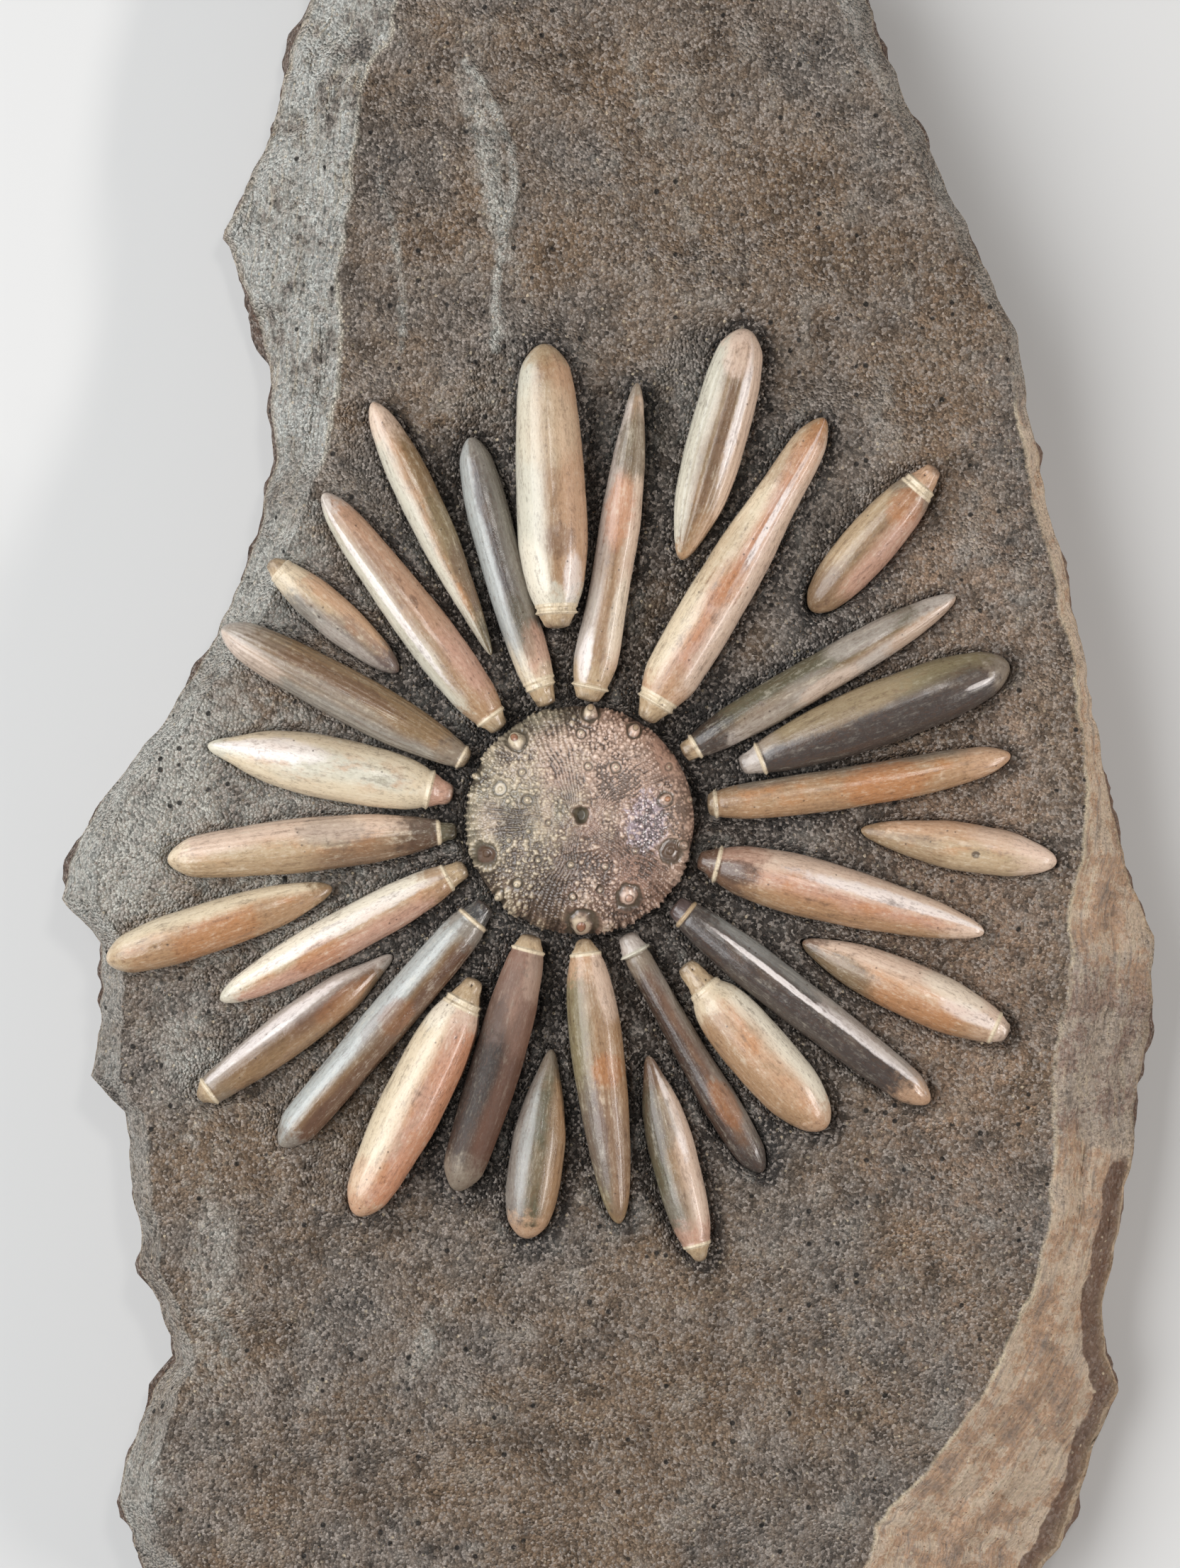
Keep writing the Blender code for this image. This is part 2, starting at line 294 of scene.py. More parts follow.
def new_group(name: str, kind: str, inputs: dict, outputs: dict) -> Graph:
    """Starts a node group with named sockets.

    Args:
        name: The group's name.
        kind: ShaderNodeTree or GeometryNodeTree.
        inputs: By name, a number's default value, or the socket kind of anything else.
        outputs: Socket kind by name.

    Returns:
        A graph whose source and result are the group's inputs and outputs.
    """
    tree = bpy.data.node_groups.new(name, kind)
    number_kinds = {float: "Float", int: "Int"}
    for label, default in inputs.items():
        socket_kind = number_kinds.get(type(default), default)
        socket = tree.interface.new_socket(label, in_out="INPUT", socket_type=f"NodeSocket{socket_kind}")
        if type(default) in number_kinds:
            socket.default_value = default
    for label, socket_kind in outputs.items():
        tree.interface.new_socket(label, in_out="OUTPUT", socket_type=f"NodeSocket{socket_kind}")
    graph = Graph(tree)
    graph.source = tree.nodes.new("NodeGroupInput").outputs
    graph.result = tree.nodes.new("NodeGroupOutput").inputs
    return graph


class SmoothNoise:
    """Repeatable noise between −1 and 1 in space, computed with numpy."""

    def __init__(self, seed: int, side: int = 48) -> None:
        """Draws the table of values at whole points.

        Args:
            seed: The seed of the random values.
            side: How many whole points before the noise repeats.
        """
        self.side = side
        self.table = np.random.default_rng(seed).uniform(-1, 1, (side, side, side))

    def at(self, points: Array, cell: float) -> Array:
        """One octave.

        Args:
            points: Rows of x, y, z.
            cell: The noise's cell, in the same unit.

        Returns:
            One value for each row.
        """
        place = points / cell
        whole = np.floor(place).astype(int)
        part = place - whole
        part = part * part * part * (part * (part * 6 - 15) + 10)
        total = np.zeros(len(points))
        for corner in np.ndindex(2, 2, 2):
            share = np.prod(np.where(np.array(corner), part, 1 - part), axis=1)
            total += share * self.table[tuple(((whole + corner) % self.side).T)]
        return total * 1.6

    def layers(self, points: Array, *rows: tuple[float, float, float]) -> Array:
        """Several octaves added, each a strength, a shift of the points and a cell."""
        return sum(strength * self.at(points + shift, cell) for strength, shift, cell in rows)


NOISE = SmoothNoise(5)


def ease(value: Array, low: float, high: float) -> Array:
    """A smooth rise from 0 at low to 1 at high, which also works when high is under low."""
    part = np.clip((value - low) / (high - low), 0, 1)
    return part * part * (3 - 2 * part)


def bell(value: Array, middle: float, width: float) -> Array:
    """1 at a middle, falling away smoothly over a width on both sides."""
    return np.exp(-((value - middle) / width) ** 2)


def fade(value: Array, width: float, power: float = 2.0) -> Array:
    """1 at or under zero, falling away over a width above it."""
    return np.exp(-(np.maximum(value, 0) / width) ** power)


def monotone(knots: Array, values: Array, at: Array) -> Array:
    """A smooth curve through points that never overshoots them.

    Args:
        knots: Rising places.
        values: The value at each.
        at: Where the curve is read.

    Returns:
        The curve's value at each place.
    """
    gaps, slopes = np.diff(knots), np.diff(values) / np.diff(knots)
    tangents = np.zeros(len(knots))
    before, after = slopes[:-1], slopes[1:]
    same = before * after > 0
    heavy, light = 2 * gaps[1:] + gaps[:-1], gaps[1:] + 2 * gaps[:-1]
    safe_before, safe_after = np.where(same, before, 1), np.where(same, after, 1)
    tangents[1:-1] = np.where(same, (heavy + light) / (heavy / safe_before + light / safe_after), 0)
    tangents[0], tangents[-1] = slopes[0], slopes[-1]
    index = np.clip(np.searchsorted(knots, at) - 1, 0, len(gaps) - 1)
    gap = gaps[index]
    t = np.clip((at - knots[index]) / gap, 0, 1)
    return ((1 + 2 * t) * (1 - t) ** 2 * values[index] + t * (1 - t) ** 2 * gap * tangents[index]
            + t * t * (3 - 2 * t) * values[index + 1] + t * t * (t - 1) * gap * tangents[index + 1])


def unique_points(name: str) -> Array:
    """The separate corners of a CAD node, in millimetres."""
    mesh = frame["nodes"][name].data
    points = np.empty(len(mesh.vertices) * 3)
    mesh.vertices.foreach_get("co", points)
    return np.unique(np.round(points.reshape(-1, 3) / MM, 4), axis=0)


def staggered_grid(low: Sequence[float], high: Sequence[float], step: float) -> Array:
    """Plan points in staggered rows over a box.

    Args:
        low: The box's lower corner.
        high: Its upper corner.
        step: The distance between neighbours.

    Returns:
        Rows of x, y.
    """
    rows = np.arange(low[1], high[1], step * ROW_STEP)
    x, y = np.meshgrid(np.arange(low[0], high[0], step), rows)
    x = x + (np.arange(len(rows)) % 2)[:, None] * step / 2
    return np.column_stack([x.ravel(), y.ravel()])


def meshed_plan(border: Array, inner: Array) -> tuple[Array, Array]:
    """Joins plan points inside a border into triangles.

    Args:
        border: The border's points, anticlockwise.
        inner: The points inside it.

    Returns:
        All the points, the border's first, and the triangles. One that joins three border points is
        kept only if they turn anticlockwise.
    """
    corners = [Vector(point) for point in np.concatenate([border, inner])]
    found = geometry.delaunay_2d_cdt(corners, [], [list(range(len(border)))], 1, 1e-7, False)
    plan, triangles = np.array([tuple(point) for point in found[0]]), np.array(found[2])
    first, second, third = (plan[corner] for corner in np.sort(triangles, axis=1).T)
    turn = np.cross(second - first, third - first)
    return plan, triangles[(triangles.max(axis=1) >= len(border)) | (turn > 0)]


def skirt_faces(starts: list[int], count: int) -> list[tuple[int, ...]]:
    """Faces that join loops of points from the top down and close the lowest.

    Args:
        starts: The first point of each loop.
        count: How many points a loop has.

    Returns:
        The corners of each face.
    """
    faces = []
    for upper, lower in zip(starts, starts[1:]):
        for index in range(count):
            after = (index + 1) % count
            faces.append((upper + index, lower + index, lower + after, upper + after))
    faces.append(tuple(starts[-1] + index for index in reversed(range(count))))
    return faces


def new_mesh(name: str, points: Array, faces: list | Array) -> Mesh:
    """A smooth-shaded mesh from millimetre points.

    Args:
        name: The mesh's name.
        points: Rows of x, y, z in millimetres.
        faces: The corners of each face.

    Returns:
        The mesh, in metres.
    """
    mesh = bpy.data.meshes.new(name)
    mesh.from_pydata((points * MM).tolist(), [], faces)
    mesh.shade_smooth()
    return mesh


def store(mesh: Mesh, name: str, values: Array) -> None:
    """Stores one value or three on each point of a mesh.

    Args:
        mesh: The mesh.
        name: The attribute's name.
        values: One row for each point.
    """
    kind, part = ("FLOAT_VECTOR", "vector") if values.ndim == 2 else ("FLOAT", "value")
    attribute = mesh.attributes.new(name, kind, "POINT")
    attribute.data.foreach_set(part, np.ascontiguousarray(values, np.float32).ravel())


def new_object(name: str, mesh: Mesh) -> Object:
    """An object in the scene that shows a mesh."""
    made = bpy.data.objects.new(name, mesh)
    bpy.context.scene.collection.objects.link(made)
    return made


def grown_mesh(name: str, seed_mesh: Mesh, tree: NodeTree, values: dict) -> Mesh:
    """Runs a geometry tree on a mesh and keeps the result as a plain mesh.

    Args:
        name: The new mesh's name.
        seed_mesh: What the tree works on.
        tree: The geometry tree.
        values: The tree's inputs by name.

    Returns:
        The plain mesh.
    """
    holder = new_object(f"{name}_seed", seed_mesh)
    modifier = holder.modifiers.new("grow", "NODES")
    modifier.node_group = tree
    for item in tree.interface.items_tree:
        if item.item_type == "SOCKET" and item.in_out == "INPUT" and item.name in values:
            modifier[item.identifier] = values[item.name]
    holder.update_tag()
    bpy.context.view_layer.update()
    evaluated = holder.evaluated_get(bpy.context.evaluated_depsgraph_get())
    mesh = bpy.data.meshes.new_from_object(evaluated)
    mesh.name = name
    holder.modifiers.remove(modifier)
    bpy.data.objects.remove(holder)
    return mesh


def place(piece: Object, slot: str, node: str | None = None) -> None:
    """Fixes a finished piece to the frame and reports it.

    Args:
        piece: The piece.
        slot: The record's material slot; not used.
        node: The CAD node that it stands for, if any.
    """
    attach(piece, BODY)
    if node:
        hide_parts(node)
    mesh = piece.data
    triangles = sum(len(polygon.vertices) - 2 for polygon in mesh.polygons)
    log.info("%s: %d points, %d triangles", piece.name, len(mesh.vertices), triangles)


# ---- shared looks


def look_group(name: str, inputs: dict, outputs: str) -> Graph:
    """Starts a shader group that gives numbers, named in one string."""
    return new_group(name, "ShaderNodeTree", inputs, {label: "Float" for label in outputs.split()})


def speck_group() -> NodeTree:
    """Scattered specks, each a share of a cell: a mask and a shade for each speck.

    Returns:
        The shader group.
    """
    inputs = {"Vector": "Vector", "Cells": 1000.0, "Share": 0.2, "Spread": 0.4}
    graph = look_group("scattered specks", inputs, "Mask Shade")
    source = graph.source
    cells = graph.add("ShaderNodeTexVoronoi", {"Vector": source["Vector"], "Scale": source["Cells"]}).outputs
    chance = graph.split(cells["Color"])
    chosen = graph.math("LESS_THAN", chance[0], source["Share"])
    near = graph.ramp(cells["Distance"], source["Spread"], graph.times(source["Spread"], 0.6))
    return graph.give(Mask=graph.times(chosen, near), Shade=chance[1])


def patch_group() -> NodeTree:
    """A ragged-edged soft patch on a club, by its place across and along.

    Returns:
        The shader group.
    """
    inputs = {"Place": "Vector", "Ragged": 0.5, "Across": 0.0, "Reach": 0.0, "Half Width": 0.5,
              "Half Length": 5.0}
    graph = look_group("ragged patch", inputs, "Mask")
    parts = graph.split(graph.source["Place"])
    squares = []
    for part, centre, half in ((0, "Across", "Half Width"), (1, "Reach", "Half Length")):
        offset = graph.math("SUBTRACT", parts[part], graph.source[centre])
        share = graph.math("DIVIDE", offset, graph.source[half])
        squares.append(graph.times(share, share))
    rough = graph.scaled(graph.source["Ragged"], 1.6, graph.math("ADD", *squares))
    return graph.give(Mask=graph.ramp(rough, 2.2, 0.7))


def streak_group() -> NodeTree:
    """Fine lengthwise streaks and a close mottle, for worn calcite.

    Returns:
        The shader group.
    """
    outputs = "Streak Mottle Cloud Warm Fine Height"
    graph = look_group("calcite streaks", {"Club": "Vector", "Shift": 0.0}, outputs)
    source = graph.source
    shift = graph.add("ShaderNodeCombineXYZ", {0: source["Shift"], 1: source["Shift"]}).outputs[0]
    moved = graph.vector("ADD", source["Club"], shift)
    drawn, cloudy, warm, close, fine = (
        graph.vector("MULTIPLY", moved, (across, along, across))
        for across, along in ((1.0, 0.1), (0.16, 0.07), (0.34, 0.17), (1.0, 0.6), (1.0, 0.35)))
    broad = graph.times(graph.noise(drawn, 1.4, 2.0), 0.5)
    return graph.give(
        Streak=graph.noise(drawn, 1.15, 3.0, 0.6, 0.3), Mottle=graph.noise(moved, 0.75, 4.0, 0.62, 0.2),
        Cloud=graph.noise(cloudy, 1.0, 2.0), Warm=graph.noise(warm, 1.0, 4.0, 0.6),
        Fine=graph.noise(fine, 3.4, 2.0, 0.6),
        Height=graph.scaled(graph.noise(close, 2.6, 3.0, 0.65), 0.9, broad))


def grain_group() -> NodeTree:
    """Sandstone grain: a tone for each sand grain, pale and black specks, and the height of the grains.

    Returns:
        The shader group.
    """
    outputs = "Tone Pale Dark Mottle Height"
    graph = look_group("sandstone grain", {"Vector": "Vector", "Grain": 1500.0}, outputs)
    source, specks = graph.source["Vector"], SHARED["specks"]
    cells = graph.add("ShaderNodeTexVoronoi", {"Vector": source, "Scale": graph.source["Grain"]}).outputs
    pale = graph.group(specks, {"Vector": source, "Cells": 1350.0, "Share": 0.07, "Spread": 0.45})
    dark = graph.group(specks, {"Vector": source, "Cells": 620.0, "Share": 0.05, "Spread": 0.36})
    bulge = graph.math("SUBTRACT", 0.55, cells["Distance"])
    return graph.give(Tone=graph.split(cells["Color"])[2], Pale=graph.times(pale["Mask"], pale["Shade"]),
                      Dark=dark["Mask"], Mottle=graph.noise(source, 160.0, 5.0, 0.62),
                      Height=graph.scaled(graph.noise(source, 1900.0, 2.0, 0.6), 0.6, bulge))


SHARED: dict[str, NodeTree] = {}


def make_shared_looks() -> None:
    """Builds each shader group once."""
    SHARED["specks"] = speck_group()
    SHARED["patch"] = patch_group()
    SHARED["streaks"] = streak_group()
    SHARED["grain"] = grain_group()


@dataclass(frozen=True)
class Surface:
    """What a material's shader is set to, apart from what its nodes feed."""

    roughness: float = 0.5
    specular: float = 0.5
    coat: float = 0.0
    coat_roughness: float = 0.1
    bump: float = 0.1

    def start(self, name: str) -> tuple[Material, Graph, Node]:
        """Makes a material with its plain settings.

        Args:
            name: The material's name.

        Returns:
            The material, its graph and its shader.
        """
        material = bpy.data.materials.new(name)
        material.use_nodes = True
        graph = Graph(material.node_tree)
        shader = material.node_tree.nodes["Principled BSDF"]
        shader.inputs["Specular IOR Level"].default_value = self.specular
        shader.inputs["Coat Weight"].default_value = self.coat
        shader.inputs["Coat Roughness"].default_value = self.coat_roughness
        shader.inputs["Roughness"].default_value = self.roughness
        return material, graph, shader

    def raise_bump(self, graph: Graph, shader: Node, height: object) -> None:
        """Feeds a height into the shader's normal, with this surface's bump in millimetres."""
        feeds = {"Strength": 1.0, "Distance": self.bump * MM, "Height": height}
        graph.feed(shader.inputs["Normal"], graph.add("ShaderNodeBump", feeds).outputs[0])


# ---- clubs


@dataclass(frozen=True)
class StainOrPaintedLight:
    """A patch of another colour on a club. Most are the stone's own marks; the near-white and bluish-white
    ones are painted highlights and a few dark ones are painted shade. across runs from −1 at the left edge
    to 1 at the right one.
    """

    across: float
    reach: float
    half_width: float
    half_length: float
    hue: Hue
    strength: float = 0.8


@dataclass(frozen=True)
class Pit:
    """A small hollow: how far right of the axis and how far from the root end it lies, and its size."""

    lateral: float
    reach: float
    radius: float
    depth: float


@dataclass(frozen=True)
class ClubFinish:
    """One spine's colours, wear and painted light. Left and right are seen looking from the root to the tip;
    the left and right hues are partly the stone's colour and partly painted light and shade on that side.
    """

    body: Hue
    # left and right: partly the stone's colour, partly painted light and shade on that side of the club
    left: Hue
    right: Hue
    root: Hue
    tip: Hue
    left_edge: float = -0.3
    right_edge: float = 0.35
    root_reach: float = 6.0
    tip_reach: float = 5.0
    cup: Hue = Hue.SAND
    ring: Hue = Hue.CREAM
    roughness: float = 0.32
    coat: float = 0.5
    ridges: float = 0.015
    double_ring: bool = False
    root_end: Root = Root.INNER
    stains_and_painted_light: tuple[StainOrPaintedLight, ...] = ()
    pits: tuple[Pit, ...] = ()


def stain_and_light_patches(*rows: tuple) -> tuple[StainOrPaintedLight, ...]:
    """Patches from rows of their fields."""
    return tuple(StainOrPaintedLight(*row) for row in rows)


# Painted light in this table: the near-white streak patches, the bluish-white patches and hue on spine_17,
# spine_20 and spine_30, the pale patch at the root of spine_16 and pale patches on lit sides of several
# clubs are painted highlights; the darker right sides of spine_16 and spine_18, with the near-black patch on
# spine_18, are painted shade.
CLUBS: dict[str, ClubFinish] = {
    "spine_01": ClubFinish(Hue.FAWN, Hue.OAT, Hue.BUFF, Hue.OAT, Hue.SAND, -0.35, 0.3, double_ring=True,
        stains_and_painted_light=stain_and_light_patches((0.6, 8, 0.25, 3.5, Hue.GLOSS, 0.6), (0.15, 14.5, 0.4, 2.4, Hue.BROWN, 0.45),
        (-0.7, 8, 0.4, 6, Hue.BONE, 0.6), (-0.1, 34, 0.9, 6, Hue.CREAM, 0.35))),
    "spine_02": ClubFinish(Hue.FAWN, Hue.PEARL, Hue.SHELL, Hue.SAND, Hue.TAUPE, -0.45, 0.4,
        stains_and_painted_light=stain_and_light_patches((-0.5, 7, 0.25, 4, Hue.GLOSS, 0.6), (-0.1, 33, 0.6, 5.5, Hue.SALMON, 0.6),
        (0.3, 44, 0.9, 5, Hue.MOSS, 0.7), (0.7, 15, 0.35, 6, Hue.BONE, 0.5))),
    "spine_03": ClubFinish(Hue.DUN, Hue.OAT, Hue.SHELL, Hue.TAN, Hue.SHELL, -0.5, 0.5, root_reach=3,
        ridges=0.05, stains_and_painted_light=stain_and_light_patches((0.5, 26, 0.13, 10, Hue.GLOSS, 0.7),
        (0.1, 20, 0.16, 14, Hue.BROWN, 0.55), (0.6, 4, 0.5, 4, Hue.TAN, 0.6),
        (0, 36.5, 0.5, 4, Hue.BISQUE, 0.6))),
    "spine_04": ClubFinish(Hue.PINK, Hue.CREAM, Hue.SHELL, Hue.BUFF, Hue.TAN, -0.4, 0.3, double_ring=True,
        stains_and_painted_light=stain_and_light_patches((0.25, 43, 0.1, 14, Hue.GLOSS, 0.75), (0, 27, 0.5, 3.6, Hue.ORANGE, 0.6),
        (-0.7, 54, 0.6, 8, Hue.FAWN, 0.6), (0.1, 54, 0.6, 7, Hue.AMBER, 0.4),
        (0, 7.5, 0.4, 3.5, Hue.TAN, 0.5), (-0.7, 31, 0.5, 6, Hue.SAND, 0.5))),
    "spine_05": ClubFinish(Hue.DUN, Hue.PINK, Hue.SAND, Hue.TAUPE, Hue.DUN, -0.3, 0.4, root_end=Root.OUTER,
        cup=Hue.BUFF, double_ring=True, tip_reach=9, pits=(Pit(0.6, 2.1, 0.5, 0.6),),
        stains_and_painted_light=stain_and_light_patches((-0.1, 8, 0.6, 3, Hue.ORANGE, 0.6), (0.5, 29, 0.7, 5, Hue.BROWN, 0.4))),
    "spine_06": ClubFinish(Hue.DUN, Hue.MOSS, Hue.PEARL, Hue.UMBER, Hue.PEARL, -0.1, 0.2, root_reach=9,
        tip_reach=12, stains_and_painted_light=stain_and_light_patches((-0.6, 36, 0.5, 6, Hue.PEARL, 0.6),
        (0.4, 24, 0.6, 5, Hue.ASH, 0.5), (-0.2, 5.5, 0.8, 4, Hue.PITCH, 0.4),
        (0.5, 15.5, 0.6, 5, Hue.TAUPE, 0.6), (0.7, 27, 0.4, 5, Hue.SHELL, 0.5),
        (0.7, 47, 0.5, 7, Hue.BUFF, 0.5))),
    "spine_07": ClubFinish(Hue.SOOT, Hue.OLIVE, Hue.SOOT, Hue.SOOT, Hue.TAUPE, -0.4, 0.2, cup=Hue.PEARL,
        stains_and_painted_light=stain_and_light_patches((0.3, 42.5, 0.07, 2.2, Hue.GLOSS, 0.5), (-0.7, 4, 0.4, 3, Hue.PEARL, 0.5),
        (-0.7, 18, 0.5, 12, Hue.SAND, 0.45))),
    "spine_08": ClubFinish(Hue.TAN, Hue.TAUPE, Hue.TAN, Hue.FAWN, Hue.BUFF, -0.7, 0.3, tip_reach=12,
        stains_and_painted_light=stain_and_light_patches((0.1, 30, 0.9, 6, Hue.ORANGE, 0.6))),
    "spine_09": ClubFinish(Hue.SAND, Hue.BUFF, Hue.SAND, Hue.DUN, Hue.SHELL, tip_reach=9, roughness=0.55,
        stains_and_painted_light=stain_and_light_patches((0.25, 19.8, 0.12, 0.6, Hue.UMBER, 0.8), (-0.6, 28, 0.5, 8, Hue.SHELL, 0.6),
        (0.6, 8, 0.7, 6, Hue.DUN, 0.5), (-0.6, 30.5, 0.5, 4, Hue.BISQUE, 0.6))),
    "spine_10": ClubFinish(Hue.PINK, Hue.SHELL, Hue.TAN, Hue.BROWN, Hue.SHELL, -0.3, 0.3, root_reach=9,
        tip_reach=10, cup=Hue.BROWN, stains_and_painted_light=stain_and_light_patches((-0.4, 36, 0.2, 16, Hue.GLOSS, 0.65),
        (0.5, 26, 0.5, 10, Hue.ORANGE, 0.15), (-0.7, 6, 0.4, 4.5, Hue.PINK, 0.6),
        (0.1, 6, 0.4, 4, Hue.UMBER, 0.5))),
    "spine_11": ClubFinish(Hue.BUFF, Hue.TAN, Hue.SHELL, Hue.SHELL, Hue.BROWN, -0.3, 0.3,
        root_end=Root.OUTER, cup=Hue.SHELL, stains_and_painted_light=stain_and_light_patches((0.1, 7, 0.3, 5, Hue.GLOSS, 0.45),
        (-0.7, 16, 0.5, 9, Hue.ORANGE, 0.5), (-0.6, 31, 0.7, 6, Hue.MOSS, 0.6),
        (-0.7, 4.5, 0.4, 3.5, Hue.TAN, 0.6), (0.7, 11, 0.4, 5, Hue.BONE, 0.5))),
    "spine_12": ClubFinish(Hue.SOOT, Hue.PEWTER, Hue.SOOT, Hue.SOOT, Hue.BUFF, -0.6, 0.2, roughness=0.2,
        tip_reach=8, cup=Hue.MAUVE, ring=Hue.SAND, stains_and_painted_light=stain_and_light_patches((-0.3, 22, 0.1, 12, Hue.GLOSS, 0.8),
        (-0.5, 41, 0.2, 9, Hue.GLOSS, 0.75), (-0.8, 40, 0.3, 10, Hue.PEARL, 0.6))),
    "spine_13": ClubFinish(Hue.BUFF, Hue.BONE, Hue.TAN, Hue.CREAM, Hue.BUFF, -0.4, 0.2,
        pits=(Pit(-0.6, 1.5, 0.45, 0.7), Pit(-1.2, 4.3, 0.4, 0.5))),
    "spine_14": ClubFinish(Hue.BROWN, Hue.SHALE, Hue.UMBER, Hue.TAUPE, Hue.SOOT, -0.5, 0.2, tip_reach=9,
        cup=Hue.PEARL, ring=Hue.OAT, stains_and_painted_light=stain_and_light_patches((-0.2, 33, 0.5, 4, Hue.ORANGE, 0.4),
        (0.6, 23, 0.5, 6, Hue.UMBER, 0.5))),
    "spine_15": ClubFinish(Hue.DUN, Hue.MOSS, Hue.SHELL, Hue.PINK, Hue.BROWN, -0.3, 0.2, tip_reach=8,
        root_end=Root.OUTER, stains_and_painted_light=stain_and_light_patches((0.5, 26, 0.2, 7, Hue.GLOSS, 0.6),
        (-0.3, 25, 0.7, 4.5, Hue.MOSS, 0.5), (-0.3, 9.5, 0.6, 3.5, Hue.PEARL, 0.2),
        (-0.7, 25, 0.5, 5, Hue.UMBER, 0.4), (0.8, 25, 0.3, 4, Hue.SHELL, 0.5))),
    "spine_16": ClubFinish(Hue.FAWN, Hue.TAN, Hue.OLIVE, Hue.BUFF, Hue.DUN, -0.5, 0.3,
        stains_and_painted_light=stain_and_light_patches((-0.7, 7, 0.4, 6, Hue.SHELL, 0.9), (-0.3, 22.5, 0.5, 2.4, Hue.ORANGE, 0.6),
        (0, 36, 0.9, 9, Hue.MAUVE, 0.35), (0.6, 33, 0.5, 8, Hue.MAUVE, 0.5))),
    "spine_17": ClubFinish(Hue.MOSS, Hue.TAN, Hue.SHALE, Hue.TAUPE, Hue.BUFF, -0.6, 0.35,
        stains_and_painted_light=stain_and_light_patches((0.5, 16, 0.2, 9, Hue.MIST, 0.35))),
    "spine_18": ClubFinish(Hue.UMBER, Hue.IRON, Hue.UMBER, Hue.IRON, Hue.TAUPE, -0.3, 0.3, roughness=0.6,
        coat=0, tip_reach=8, stains_and_painted_light=stain_and_light_patches((0.5, 8, 0.7, 9, Hue.PINK, 0.3),
        (-0.6, 13, 0.7, 6, Hue.PINK, 0.18), (-0.7, 5, 0.5, 5, Hue.SHELL, 0.3),
        (0.6, 23, 0.6, 10, Hue.INK, 0.45))),
    "spine_19": ClubFinish(Hue.PINK, Hue.SALMON, Hue.CREAM, Hue.SHELL, Hue.BUFF, -0.4, 0.1,
        double_ring=True, pits=(Pit(0.1, 1.3, 0.6, 0.7), Pit(-1.6, 10.2, 0.4, 0.35),
        Pit(0.1, 7.9, 0.35, 0.3)), stains_and_painted_light=stain_and_light_patches((0.7, 6, 0.4, 4, Hue.BONE, 0.7),
        (0.6, 41, 0.6, 5, Hue.SALMON, 0.4))),
    "spine_20": ClubFinish(Hue.DUN, Hue.BROWN, Hue.MIST, Hue.ASH, Hue.ASH, -0.2, 0.1, roughness=0.2,
        cup=Hue.SLATE, stains_and_painted_light=stain_and_light_patches((0.45, 27, 0.2, 22, Hue.MIST, 0.6),
        (-0.2, 24.5, 0.5, 3, Hue.ORANGE, 0.4), (-0.1, 27, 0.6, 5, Hue.BROWN, 0.45))),
    "spine_21": ClubFinish(Hue.BROWN, Hue.PEARL, Hue.FAWN, Hue.TAUPE, Hue.PEARL, -0.4, 0.25,
        root_end=Root.OUTER, roughness=0.22, stains_and_painted_light=stain_and_light_patches((-0.6, 16, 0.2, 13, Hue.GLOSS, 0.7),
        (0.4, 30, 0.5, 5, Hue.ORANGE, 0.3), (0.15, 9.5, 0.5, 8, Hue.DUN, 0.6))),
    "spine_22": ClubFinish(Hue.SAND, Hue.PINK, Hue.BONE, Hue.TAN, Hue.OAT, -0.2, 0.2, roughness=0.24,
        stains_and_painted_light=stain_and_light_patches((0.3, 22, 0.25, 14, Hue.GLOSS, 0.5),
        (-0.4, 28.5, 0.5, 4, Hue.ORANGE, 0.5))),
    "spine_23": ClubFinish(Hue.TAN, Hue.TAN, Hue.CREAM, Hue.DUN, Hue.SAND, -0.2, 0.3, root_reach=5,
        pits=(Pit(-0.3, 31, 0.8, 0.25), Pit(-0.6, 29, 0.6, 0.2), Pit(0.2, 33.2, 0.6, 0.2)),
        stains_and_painted_light=stain_and_light_patches((-0.6, 21, 0.8, 6, Hue.ORANGE, 0.5))),
    "spine_24": ClubFinish(Hue.SAND, Hue.FAWN, Hue.SHELL, Hue.UMBER, Hue.CREAM, -0.4, 0.2, root_reach=10,
        ridges=0.035, cup=Hue.MOSS, stains_and_painted_light=stain_and_light_patches((-0.6, 14, 0.6, 9, Hue.BROWN, 0.5),
        (0.4, 21, 0.5, 5, Hue.ASH, 0.4), (-0.6, 38, 0.6, 12, Hue.SAND, 0.6))),
    "spine_25": ClubFinish(Hue.OAT, Hue.CREAM, Hue.CREAM, Hue.CREAM, Hue.OAT, -0.4, 0.5, cup=Hue.PINK,
        stains_and_painted_light=stain_and_light_patches((0.3, 32, 0.35, 8, Hue.GLOSS, 0.7),
        (0.8, 28, 0.4, 9, Hue.TAN, 0.2))),
    "spine_26": ClubFinish(Hue.DUN, Hue.ASH, Hue.DUN, Hue.TAUPE, Hue.PEARL, -0.4, 0.3, ridges=0.06,
        tip_reach=9, stains_and_painted_light=stain_and_light_patches((0.35, 27, 0.28, 11, Hue.BROWN, 0.6),
        (-0.15, 30, 0.2, 12, Hue.ASH, 0.5), (-0.7, 43, 0.5, 7, Hue.SHELL, 0.5),
        (0.6, 43, 0.5, 6, Hue.TAUPE, 0.5))),
    "spine_27": ClubFinish(Hue.SAND, Hue.BUFF, Hue.ASH, Hue.CREAM, Hue.MAUVE, -0.3, 0.2, root_end=Root.OUTER,
        roughness=0.5, tip_reach=7, pits=(Pit(1.3, 10.5, 0.7, 0.4), Pit(0.6, 9, 0.5, 0.3),
